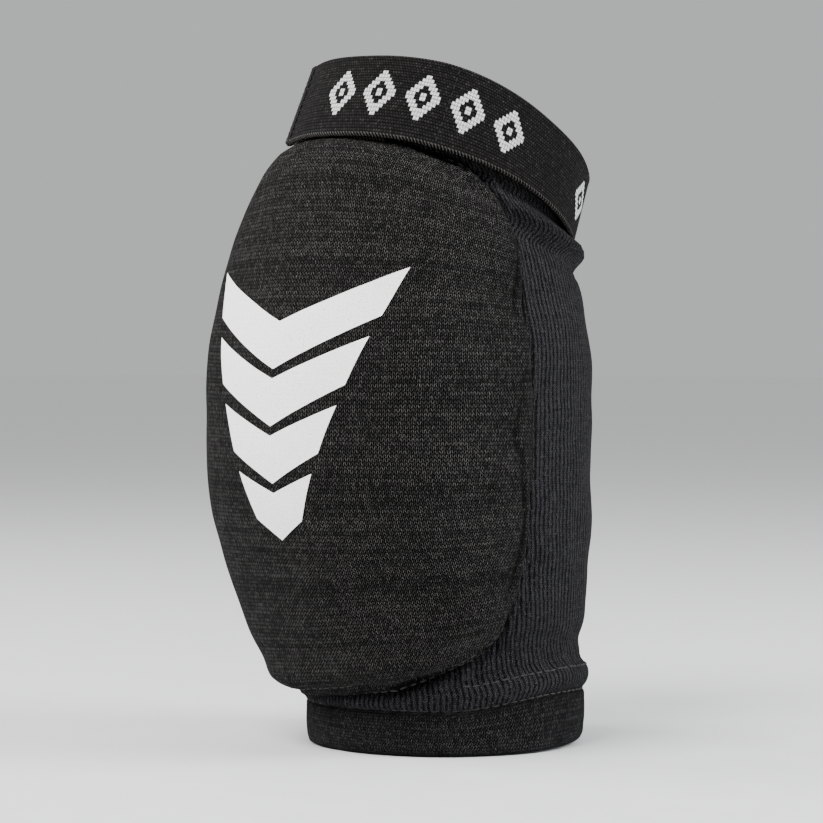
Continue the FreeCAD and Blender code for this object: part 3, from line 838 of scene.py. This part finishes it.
def pad_relief(face, inward, along, stir):
    """Tucks by the seam, dents in the foam, the lower stitch row's groove, lumps at the upper corners."""
    height = face[..., 2]
    tucks = np.sin(along / 2.1 + 3 * stir) * hump(inward, 3.5, 4.0) * 0.22
    dents = drift(face, 34.0) * 0.9 + drift(face, 12.0, 7.0) * 0.28
    quiet = rise(0.5, 9.0, inward)
    groove = -0.5 * hump(inward, PAD_STITCH_INSET, 1.2) * rise(60.0, 40.0, height)
    lump = rise(158.0, 170.0, height) * hump(np.abs(face[..., 0]), 37.0, 9.0) * hump(inward, 4.0, 2.6)
    lump = lump * (0.8 + 1.5 * drift(face, 2.2, 6.0))
    return tucks + dents * quiet + groove + lump


def make_pad():
    """The knitted cover over its foam, swelled as cloth, then gathered along its seam."""
    rows, columns = 240, 300
    coarse_rows, coarse_columns = 44, 46
    gather_depth = 1.1
    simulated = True
    face, base = pad_grid(rows, columns, PRESSED if simulated else 1.0)
    if simulated:
        coarse, _ = pad_grid(coarse_rows, coarse_columns, PRESSED)
        face = face + enlarge(swell(coarse, SWELL_LIMIT), rows, columns)
    normals = grid_normals(face, False)
    border = border_of(base)
    inward = edge_distance(face, border)
    along = lengths(face, 0)
    across = lengths(face, 1)
    across = across - across[:, columns // 2][:, None]
    stir = drift(face, 9.0, 3.0)
    gathers = pad_gathers(face, inward, across, rise(45.0, 65.0, face[..., 2]), stir)
    # Painted shade: a dark band along the pad's seam valley, used only to darken the knit's colour.
    painted_seam_shade = hump(inward, 0.0, 2.8)
    relief = pad_relief(face, inward, along, stir)
    face = face + normals * (relief - gather_depth * gathers)[..., None]
    up = np.broadcast_to(along[:, columns // 2][:, None], across.shape)
    piece = grid_piece("pad_cover_knit", face, np.stack([across, up], -1))
    # Painted shade for the knit: the gathers and the seam valley are darkened.
    paint_tuck_shade(piece, np.maximum(gather_depth * gathers, 0.9 * painted_seam_shade))
    settle(piece, "sleeve", "pad_knit", PAD_KNIT, "pad_cover", "foam_core", "pad_seam_allowance")
    return piece, face, border


# ---------------------------------------------------------------- sleeve and cuffs


def tube(name, outside, inside):
    """A closed tube with a wall: outer rows upwards, then inner rows down again."""
    points = np.concatenate([outside, inside[::-1]])
    u = lengths(wrapped(points), 1)
    u = u / u[:, -1:] * round(float(u[:, -1].mean()))
    v = lengths(np.concatenate([points, points[:1]]), 0)[:, :1] * np.ones((1, u.shape[1]))
    uv = np.stack([np.concatenate([u, u[:1]]), v], -1)
    return grid_piece(name, points, uv, closed_across=True, closed_along=True)


def sleeve_seam(plain, bearings, heights, away, ripple):
    """The puckered ridge beside the pad's seam, with lumps by the pad's upper corners."""
    ridge = 0.7 * hump(away, 3.8, 1.6) * (0.75 + 0.35 * ripple) - 1.2 * hump(away, 0.5, 1.6)
    corner = hump(np.abs(bearings), 57.0, 13.0) * rise(158.0, 170.0, heights) * hump(away, 2.6, 2.2)
    return ridge + corner * (0.8 + 1.3 * drift(plain, 2.4, 6.0))


def sleeve_pleats(plain, bearings, heights, away):
    """Upright pleats beside the pad's lower half."""
    around = bearings * math.pi / 180 * SLEEVE_RADIUS
    low_side = hump(np.abs(bearings), 66.0, 16.0) * rise(95.0, 70.0, heights) * rise(27.0, 36.0, heights)
    return slits(around / 4.2 + 0.9 * drift(plain, 20.0, 12.0), 0.2) * low_side * hump(away, 3.0, 6.0)


def sleeve_bunch(bearings, heights):
    """The roll of cloth under the strap at the sides and back, and the crease below it."""
    side = rise(50.0, 100.0, np.abs(bearings))[None]
    strap_low = STRAP_EDGE_HEIGHT + STRAP_SLUMP(bearings)[None]
    roll = hump(heights, strap_low - 5.4, 3.3) * 4.5 * side
    crease = -0.8 * hump(heights, strap_low - 12.4, 2.4) * side
    return roll, crease


def make_sleeve(border):
    """Ribbed tube: rolls at both ends, soft folds, and a puckered ridge where the pad is sewn down."""
    bearings = np.linspace(-180, 180, 560, endpoint=False)
    heights = np.linspace(15.0, TOP_HEIGHT, 168)[:, None]
    plain = from_sleeve_axis(bearings, sleeve_radius(bearings, heights), heights)
    plain[..., 2] += hem_shift(bearings, heights)
    outward = grid_normals(plain, True)
    away = edge_distance(plain, border)
    around = bearings * math.pi / 180 * SLEEVE_RADIUS
    ripple = np.sin(around / 1.25 + 2.5 * drift(plain, 18.0, 5.0))
    seam_ridge = sleeve_seam(plain, bearings, heights, away, ripple)
    pleats = sleeve_pleats(plain, bearings, heights, away)
    roll, crease = sleeve_bunch(bearings, heights)
    folds = 0.8 * drift(plain * (1.0, 1.0, 2.2), 26.0, 2.0) + 0.35 * drift(plain * (1, 1, 0.35), 5.0, 9.0)
    waist = 0.35 * ripple * hump(heights, 27.0, 4.5)
    calm = rise(15.0, 19.0, heights) * rise(190.0, 186.0, heights)
    lift = seam_ridge - 0.8 * pleats + roll + crease + folds * calm + waist
    outside = plain + outward * lift[..., None]
    inside = plain - outward * (SLEEVE_WALL - 0.35 * folds[..., None] * calm[..., None])
    inside = inside[::3]
    piece = tube("sleeve_ribbed_knit", outside, inside)
    # Painted shade for the knit: the seam valley beside the pad and the pleats are darkened.
    tucks = np.maximum(0.8 * hump(away, 0.0, 1.8), 0.7 * pleats)
    paint_tuck_shade(piece, np.concatenate([tucks, np.zeros_like(inside[:, :, 0])]))
    settle(piece, "sleeve", "sleeve_knit", SLEEVE_KNIT, "sleeve_tube")
    return outside, bearings, heights[:, 0]


def hem_section(outer, inner, start, end, rows):
    """Points along a hem's section at shares from start to end: their distances along it, radii and heights.

    outer and inner are (radius, list of (outset, height)) for the two faces, which meet in the fold.
    """
    faces = (outer, inner)
    section = np.array([(radius + outset, height) for radius, face in faces for outset, height in face])
    run = lengths(section, 0)
    steps = np.linspace(run[-1] * start, run[-1] * end, rows)
    radius, height = (np.interp(steps, run, section[:, k])[:, None] for k in (0, 1))
    return steps[:, None], radius, height


def hem_piece(name, points, steps, node):
    """A hem as one band, closed round the sleeve."""
    u = lengths(wrapped(points), 1)
    v = np.broadcast_to(steps, u.shape)
    piece = grid_piece(name, points, np.stack([u, v], -1), closed_across=True)
    settle(piece, "sleeve", "cuff_knit", CUFF_KNIT, node)


def make_lower_cuff():
    """The hem: a soft double fold that stands on the floor."""
    bearings = np.linspace(-180, 180, 480, endpoint=False)
    outer_face = [(-1.6, 17.6), (-0.5, 16.4), (-0.35, 15.3), (0.15, 13.6), (0.25, 10.0), (0.1, 6.0),
                  (-0.1, 2.6), (-0.6, 0.9), (-1.6, 0.1)]
    inner_face = [(1.4, 0.1), (0.5, 0.8), (0.1, 2.4), (0, 9.0), (0.1, 16.8)]
    steps, radius, height = hem_section((CUFF_OUTER, outer_face), (CUFF_INNER, inner_face), 1, 0, 64)
    plain = polar(bearings, radius, height)
    outer = rise(CUFF_INNER + 1, CUFF_OUTER - 1, radius)
    waves = 0.6 * drift(plain * (1.0, 1.0, 0.5), 16.0, 4.0) + 0.25 * drift(plain, 5.0, 1.0)
    puckers = 0.5 + 0.5 * np.sin(bearings[None] * 0.62 + 3 * drift(plain, 9.0, 8.0))
    pull = -0.45 * hump(height, 15.0, 0.9) + 0.22 * puckers * hump(height, 12.5, 2.4)
    radius = radius + (waves + pull) * outer
    wavy = np.sin(np.radians(bearings) * 3 + 1)
    height = height + 0.35 * wavy * rise(5.0, 0.5, height) * rise(0.2, 0.8, height)
    lifted = hump((bearings - CUFF_LIFT_BEARING + 180) % 360 - 180, 0, 40.0)
    height = height + CUFF_LIFT * lifted * rise(11.0, 0.0, height)
    height = height + hem_shift(bearings, height)
    hem_piece("lower_cuff_knit", polar(bearings, radius, height), steps, "lower_cuff")


def make_upper_cuff():
    """The upper hem, folded down inside the strap."""
    bearings = np.linspace(-180, 180, 420, endpoint=False)
    low, high = -RING_BELOW - 1.0, RING_ABOVE
    outer_face = [(-0.5, low), (-0.2, low + 4), (-0.2, high - 2.0), (-0.6, high - 0.6), (-1.3, high)]
    inner_face = [(0.9, high), (0.3, high - 0.7), (0, high - 2.5), (0, low + 3), (0.4, low)]
    steps, radius, height = hem_section((UPPER_OUTER, outer_face), (UPPER_INNER, inner_face), 0, 1, 70)
    plain = polar(bearings, radius, height)
    inner = rise(UPPER_OUTER - 1, UPPER_INNER + 1, radius)
    radius = radius + 0.3 * drift(plain * (1, 1, 0.5), 12.0, 6.0) * inner
    hem_piece("upper_cuff_knit", ring_to_part(polar(bearings, radius, height)), steps, "upper_cuff")


def make_hem_stitches():
    """The row that closes the lower hem, a little wavy."""
    bearings = np.linspace(-180, 180, 361)
    level = HEM_STITCH_HEIGHT + 0.25 * np.sin(np.radians(bearings) * 2 + 0.6)
    path = polar(bearings, CUFF_OUTER - 0.35, level + hem_shift(bearings, level))
    normals = polar(bearings, 1.0, 0.0)
    sew("hem_stitches", [(path, normals)], 2.5, 0.9, 0.3, node="lower_hem_thread")


def make_roll_stitches(face, bearings, heights):
    """The row over the sleeve's lower roll, from one side of the pad round the back to the other."""
    row = np.argmin(np.abs(heights - ROLL_STITCH_HEIGHT))
    normals = grid_normals(face, True)[row]
    order = np.argsort(bearings % 360)
    order = order[np.abs(bearings[order]) > ROLL_STITCH_START]
    sew("roll_stitches", [(face[row][order], normals[order])], 2.5, 0.9, 0.3, node="sleeve_roll_thread")


# ---------------------------------------------------------------- strap


def side_circle():
    """Centre in the ring plane, and radius, of the arc from the wrapped turn out to the tab."""
    spread = math.cos(math.radians(HINGE_TAB - HINGE_SIDE))
    start, end = STRAP_RADIUS, TAB_RADIUS
    radius = (start**2 + end**2 - 2 * start * end * spread) / (2 * (start - end * spread))
    return polar(-HINGE_SIDE, start - radius, 0.0), radius


def strap_radius(turn):
    """Radius of the strap's middle at a turn: degrees wound from the front, growing towards the tab."""
    centre, radius = side_circle()
    direction = polar(-np.asarray(turn, float), 1.0, 0.0)
    along = direction @ centre
    arc = along + np.sqrt(radius**2 - centre @ centre + along**2)
    return np.where(turn <= HINGE_SIDE, STRAP_RADIUS, np.where(turn >= HINGE_TAB, TAB_RADIUS, arc))


def strap_length(turn):
    """Distance along the strap from the tab's end, in mm."""
    turns = np.linspace(ANCHOR_START, TAB_END, 2000)
    run = np.concatenate([[0], np.cumsum(np.radians(np.diff(turns)) * strap_radius(turns[1:]))])
    return run[-1] - np.interp(turn, turns, run)


def round_edge(centre, edge, thick, first, last):
    """The rounded edge of a band's section, between two angles, as (across, out) pairs."""
    angles = [math.radians(angle) for angle in np.linspace(first, last, 5)]
    return [(centre + edge * math.cos(angle), thick / 2 * math.sin(angle) * 1.1) for angle in angles]


def band_profile(width, thick, edge):
    """A flat band's section: outer face with a bead along both edges, edge, inner face, edge."""
    half = width / 2
    flat = half - edge
    outer = [(x, thick / 2 + 0.14 * hump(abs(x), half - 0.9, 0.5)) for x in np.linspace(-flat, flat, 26)]
    inner = [(x, -thick / 2) for x in np.linspace(flat, -flat, 16)]
    high_edge = round_edge(flat, edge, thick, 60, -60)
    low_edge = round_edge(-flat, edge, thick, -120, -240)
    return np.array(outer + high_edge + inner + low_edge)


# bearing, and how far the strap sits off its level ring there
STRAP_SLUMP = smooth_curve(
    [-180, -120, -60, -35, 0, 25, 47, 67, 90, 118, 135, 155, 180],
    [-3.0, -1.4, -1.3, -1.8, -1.9, -0.7, 0.5, 0.2, -2.5, -5.2, -6.8, -6.0, -3.0])


def turn_bearing(turn):
    """Bearing, from -180 to 180, of a turn."""
    return (180 - np.asarray(turn, float)) % 360 - 180


def strap_height(turn, across):
    """Height in the ring frame of a point of the strap, whose lower edge sags in front."""
    bearing = turn_bearing(turn)
    low = 0.5 - across / STRAP_WIDTH
    front = rise(100.0, 45.0, bearing) * rise(-110.0, -60.0, bearing)
    slump = STRAP_SLUMP(bearing) + 0.12 * np.sin(7 * np.radians(turn))
    return across + slump - FRONT_SAG * front * low**2


def strap_stand_off(turn, across):
    """How far the strap stands off its smooth turn: ripples, the slack at the side, and the free end."""
    angle = np.radians(turn)
    low = 0.5 - across / STRAP_WIDTH
    ripple = 0.10 * np.sin(5 * angle) + 0.06 * np.sin(13 * angle + 1)
    cone = hump(turn_bearing(turn), 122.0, 38.0) * (SIDE_CONE * low + SIDE_BULGE)
    peel = np.clip((turn - TAB_END + PEEL_TURN) / PEEL_TURN, 0, 1) ** 2
    flare = peel * (FREE_END_TOP + (FREE_END_LOW - FREE_END_TOP) * low)
    return ripple + cone + flare


def band(name, start, end, width=STRAP_WIDTH, thick=STRAP_THICK, out=0.0, edge=0.7, fold=0.0, step=0.75,
         rough=0.0):
    """A stretch of band between two turns. fold thickens and rounds its far end; rough stirs its faces."""
    count = max(8, int(abs(strap_length(start) - strap_length(end)) / step))
    turns = np.linspace(start, end, count)
    profile = band_profile(width, thick, edge)
    run = strap_length(turns)
    swollen = np.ones(count)
    if fold:
        to_end = np.abs(run - run[-1])
        swollen = 1 + fold * (1 - rise(3.6, 4.6, to_end))
        swollen = swollen * np.sqrt(1 - np.clip((0.9 - to_end) / 0.95, 0, 1) ** 2)
    across = strap_height(turns[:, None], profile[None, :, 0])
    stand_off = strap_stand_off(turns[:, None], profile[None, :, 0])
    radius = strap_radius(turns)[:, None] + (profile[None, :, 1] * swollen[:, None] + stand_off + out)
    points = polar(-turns[:, None], radius, across)
    if rough:
        points = polar(-turns[:, None], radius + drift(points, 0.9, 2.0) * rough, across)
    points = ring_to_part(points)
    v = np.concatenate([profile[:, 0], profile[:1, 0]])
    uv = np.stack(np.broadcast_arrays(run[:, None], v[None, :]), -1)
    piece = grid_piece(name, points, uv, closed_across=True)
    cap_ends(piece, len(turns), len(profile))
    return piece


def cap_ends(piece, rows, columns):
    """Closes both ends of a band."""
    mesh = bmesh.new()
    mesh.from_mesh(piece.data)
    mesh.verts.ensure_lookup_table()
    layer = mesh.loops.layers.uv["weave"]
    for row in (0, rows - 1):
        ring = [mesh.verts[row * columns + k] for k in range(columns)]
        face = mesh.faces.new(ring)
        near = {v: next(loop[layer].uv.copy() for loop in v.link_loops if loop.face != face) for v in ring}
        for loop in face.loops:
            loop[layer].uv = near[loop.vert]
    bmesh.ops.recalc_face_normals(mesh, faces=mesh.faces[:])
    mesh.to_mesh(piece.data)
    mesh.free()


def hinge_line(turn):
    """Two points on the strap either side of a hinge, as it is wound, in metres in the part's frame."""
    radius = float(strap_radius(np.array(turn)))
    middle = polar(-turn, radius, 0.0)
    angle = math.radians(-turn)
    way = np.array([-math.cos(angle), -math.sin(angle), 0.0])
    return [Vector(ring_to_part(middle + way * s) * MM) for s in (-HINGE_REACH, HINGE_REACH)]


def cross_rows(turns, radius_out, width):
    """Paths straight across the strap at some turns, with their normals."""
    rows = []
    for turn in turns:
        across = np.linspace(-width / 2, width / 2, 12)
        radius = float(strap_radius(np.array(turn))) + radius_out + strap_stand_off(turn, across)
        path = ring_to_part(polar(-turn, radius, strap_height(turn, across)))
        normals = polar(-turn, 1.0, np.zeros(len(across))) @ RING_AXES.T
        rows.append((path, normals))
    return rows


def make_strap():
    """The strap in four stretches that meet between the hinges; the last one ends in a folded binding."""
    back_start, side_start, front_start = 105.0, 195.0, 278.0
    sewn = band("strap_sewn_run", ANCHOR_START, back_start)
    settle(sewn, "sleeve", "webbing", WEBBING, "strap_anchor")
    back = band("strap_back_bend", back_start, side_start)
    settle(back, None, "webbing", WEBBING, "strap_back")
    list(hinge_line(HINGE_BACK))
    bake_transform(back)
    side = band("strap_side_bend", side_start, front_start)
    settle(side, None, "webbing", WEBBING, "strap_side")
    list(hinge_line(HINGE_SIDE))
    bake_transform(side)
    front = band("strap_front_run", front_start, TAB_END, fold=0.42)
    settle(front, None, "webbing", WEBBING, "strap_tab")
    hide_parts("tab_end_binding")
    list(hinge_line(HINGE_TAB))
    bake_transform(front)


def make_patches():
    """Loop pile on the sewn run's outer face, hooks on the free end's inner face."""
    out = (STRAP_THICK + PATCH_THICK) / 2
    cut = {"width": PATCH_WIDTH, "thick": PATCH_THICK, "edge": 0.3, "step": 0.5, "rough": 0.14}
    loop = band("loop_pile_patch", ANCHOR_START + 2, 33.0, out=out, **cut)
    settle(loop, "sleeve", "loop_pile", LOOP_PILE, "loop_patch")
    hook = band("hook_tape_patch", HINGE_TAB + 5, TAB_END - 3, out=-out, **cut)
    settle(hook, "strap_free_end", "hook_tape", HOOK_TAPE, "hook_patch")


def make_strap_stitches():
    """Rows straight across the strap: on the sewn run, at the free end's binding and beside its seam."""
    face = STRAP_THICK / 2
    sewn_turns = (52.0, 60.0, 146.0)
    end_insets = (0.9, 4.2)
    edge_turn, inner_turn = (TAB_END - math.degrees(inset / TAB_RADIUS) for inset in end_insets)
    anchor_rows = cross_rows(sewn_turns, face, 21.0)
    sew("anchor_stitches", anchor_rows, 2.2, 0.8, 0.28, node="anchor_stitching")
    edge_rows = cross_rows((edge_turn,), face * 1.3, 23.5)
    sew("tab_stitches", edge_rows, 1.5, 0.5, 0.3, PALE_THREAD, "tab_stitching", "strap_free_end")
    inner_rows = cross_rows((inner_turn,), face * 1.3, 22.5)
    sew("tab_inner_stitches", inner_rows, 1.9, 0.7, 0.28, BLACK_THREAD, body="strap_free_end")
    seam_rows = cross_rows((SEAM_TURN,), face, 23.0)
    seam = sew("tab_seam_stitches", seam_rows, 2.0, 0.5, 0.3, BLACK_THREAD, body=None)
    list(hinge_line(HINGE_TAB))
    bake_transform(seam)


# ---------------------------------------------------------------- emblem


def emblem_bars():
    """Four stacked chevrons, each as two slanted bars: (x, z) corners in mm, clockwise from the front."""
    bars = []
    middle_x, middle_z, pitch, bar, drop, half, taper = -2.5, 111.0, 22.0, 15.5, 17.0, 42.0, 8.5
    top = middle_z + 1.5 * pitch + bar / 2 + drop / 2
    for row in range(4):
        wide = half - row * taper
        narrow = wide - taper * bar / pitch
        high = top - row * pitch
        dip = drop * wide / half
        for side in (-1, 1):
            low = high - bar
            corners = [(side * wide, high), (0, high - dip), (0, low - dip), (side * narrow, low)]
            if side > 0:
                corners = corners[::-1]
            bars.append([(x + middle_x, z) for x, z in corners])
    return bars


def make_emblem(pad):
    """The print: the pad's own front faces, cut to the bars and lifted a hair."""
    back_limit, lift = -0.03, 0.16
    whole = bmesh.new()
    for bar in emblem_bars():
        part = bmesh.new()
        part.from_mesh(pad.data)
        part.normal_update()
        back = [f for f in part.faces if f.calc_center_median().y > back_limit]
        bmesh.ops.delete(part, geom=back, context="FACES")
        for (x, z), (next_x, next_z) in zip(bar, bar[1:] + bar[:1]):
            outward = Vector((z - next_z, 0, next_x - x))
            geometry = part.verts[:] + part.edges[:] + part.faces[:]
            corner = Vector((x, 0, z)) * MM
            bmesh.ops.bisect_plane(part, geom=geometry, plane_co=corner, plane_no=outward, clear_outer=True)
        for vertex in part.verts:
            vertex.co += vertex.normal * lift * MM
        scratch = bpy.data.meshes.new("bar")
        part.to_mesh(scratch)
        part.free()
        whole.from_mesh(scratch)
        bpy.data.meshes.remove(scratch)
    bmesh.ops.remove_doubles(whole, verts=whole.verts[:], dist=0.02 * MM)
    mesh = bpy.data.meshes.new("emblem_print")
    whole.to_mesh(mesh)
    whole.free()
    piece = link("emblem_print", mesh)
    settle(piece, "sleeve", "emblem_ink", INK, "printed_emblem")


# ---------------------------------------------------------------- seam stitches


def make_pad_stitches(face, border):
    """A row just inside the pad's lower edge, and the row that holds the seam down all round."""
    normals = grid_normals(face, False)
    inward = edge_distance(face, border)
    lower_rows, side_columns, top = 70, 6, 48
    columns = np.arange(side_columns, face.shape[1] - side_columns)
    near = np.argmin(np.abs(inward[:lower_rows, columns] - PAD_STITCH_INSET), axis=0)
    path, outward = face[near, columns], normals[near, columns]
    keep = path[:, 2] < top
    sew("pad_edge_stitches", [(path[keep], outward[keep])], 2.4, 1.0, 0.27)
    centre = from_sleeve_axis(0.0, 0.0, border[:, 2])
    away = border - centre
    away[:, 2] = 0
    away /= np.linalg.norm(away, axis=1, keepdims=True)
    sew("pad_seam_stitches", [(border + away * 0.35, away)], 2.2, 1.2, 0.3, node="pad_seam_thread")


# ---------------------------------------------------------------- studio


def make_floor():
    """A wide matt floor, larger than the view."""
    bpy.ops.mesh.primitive_grid_add(x_subdivisions=8, y_subdivisions=8, size=40)
    floor = bpy.context.active_object
    floor.name = "floor"
    g = Graph("pale_floor")
    grain = g.noise(g.point(), 60.0, 4.0)
    colour = g.blend(grain, (0.60, 0.60, 0.605), (0.64, 0.64, 0.64))
    rough = g.spread(grain, 0.3, 0.7, 0.55, 0.7)
    floor.data.materials.append(g.finish(colour, rough, grain, 0.05, strength=0.2))


def area_light(name, bearing, elevation, distance, size, power, colour=(1, 1, 1)):
    """A round lamp at a bearing and elevation in degrees, aimed at the middle of the object."""
    light = bpy.data.lights.new(name, "AREA")
    light.shape = "DISK"
    light.size = size
    light.energy = power
    light.color = colour
    lamp = link(name, light)
    flat = math.cos(math.radians(elevation)) * distance
    up = math.sin(math.radians(elevation)) * distance
    angle = math.radians(bearing)
    target = Vector((0, -0.01, 0.12))
    lamp.location = target + Vector((flat * math.sin(angle), -flat * math.cos(angle), up))
    lamp.rotation_euler = (target - lamp.location).to_track_quat("-Z", "Y").to_euler()


def make_studio():
    """Pale surroundings, a floor, three lamps and a wide soft sun overhead."""
    world = bpy.data.worlds.new("studio")
    world.use_nodes = True
    background = world.node_tree.nodes["Background"]
    background.inputs["Color"].default_value = (0.86, 0.87, 0.88, 1)
    background.inputs["Strength"].default_value = 0.62
    bpy.context.scene.world = world
    make_floor()
    area_light("key", 5.0, 48.0, 1.5, 0.9, 43.0)
    area_light("side", 118.0, 30.0, 1.3, 0.7, 27.0, (0.96, 0.98, 1.0))
    area_light("left", -62.0, 25.0, 1.4, 0.8, 19.0)
    sun = bpy.data.lights.new("sun", "SUN")
    sun.energy = 0.9
    sun.angle = math.radians(50.0)
    link("sun", sun)


def make_camera():
    """At bearing 42 degrees, a metre away, a little above the pad's middle."""
    bearing = math.radians(42.0)
    right = Vector((math.cos(bearing), math.sin(bearing), 0))
    towards = Vector((math.sin(bearing), -math.cos(bearing), 0))
    target = right * -0.0115 + Vector((0, 0, 0.113))
    data = bpy.data.cameras.new("camera")
    data.lens = 127.2
    data.sensor_width = 36.0
    camera = link("camera", data)
    camera.location = target + towards * 1.0 + Vector((0, 0, 0.017))
    camera.rotation_euler = (target - camera.location).to_track_quat("-Z", "Y").to_euler()
    bpy.context.scene.camera = camera


def dress_hidden_nodes():
    """Elastic for the two CAD bands that stay sealed inside the cuffs."""
    for node in ("lower_cuff_elastic", "upper_cuff_elastic"):
        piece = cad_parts[node]
        piece.data.materials.clear()
        piece.data.materials.append(ELASTIC)


make_studio()
make_camera()
pad_piece, pad_face, pad_border = make_pad()
make_emblem(pad_piece)
sleeve_face, bearings, heights = make_sleeve(pad_border)
make_lower_cuff()
make_upper_cuff()
make_hem_stitches()
make_roll_stitches(sleeve_face, bearings, heights)
make_pad_stitches(pad_face, pad_border)
make_strap()
make_patches()
make_strap_stitches()
dress_hidden_nodes()
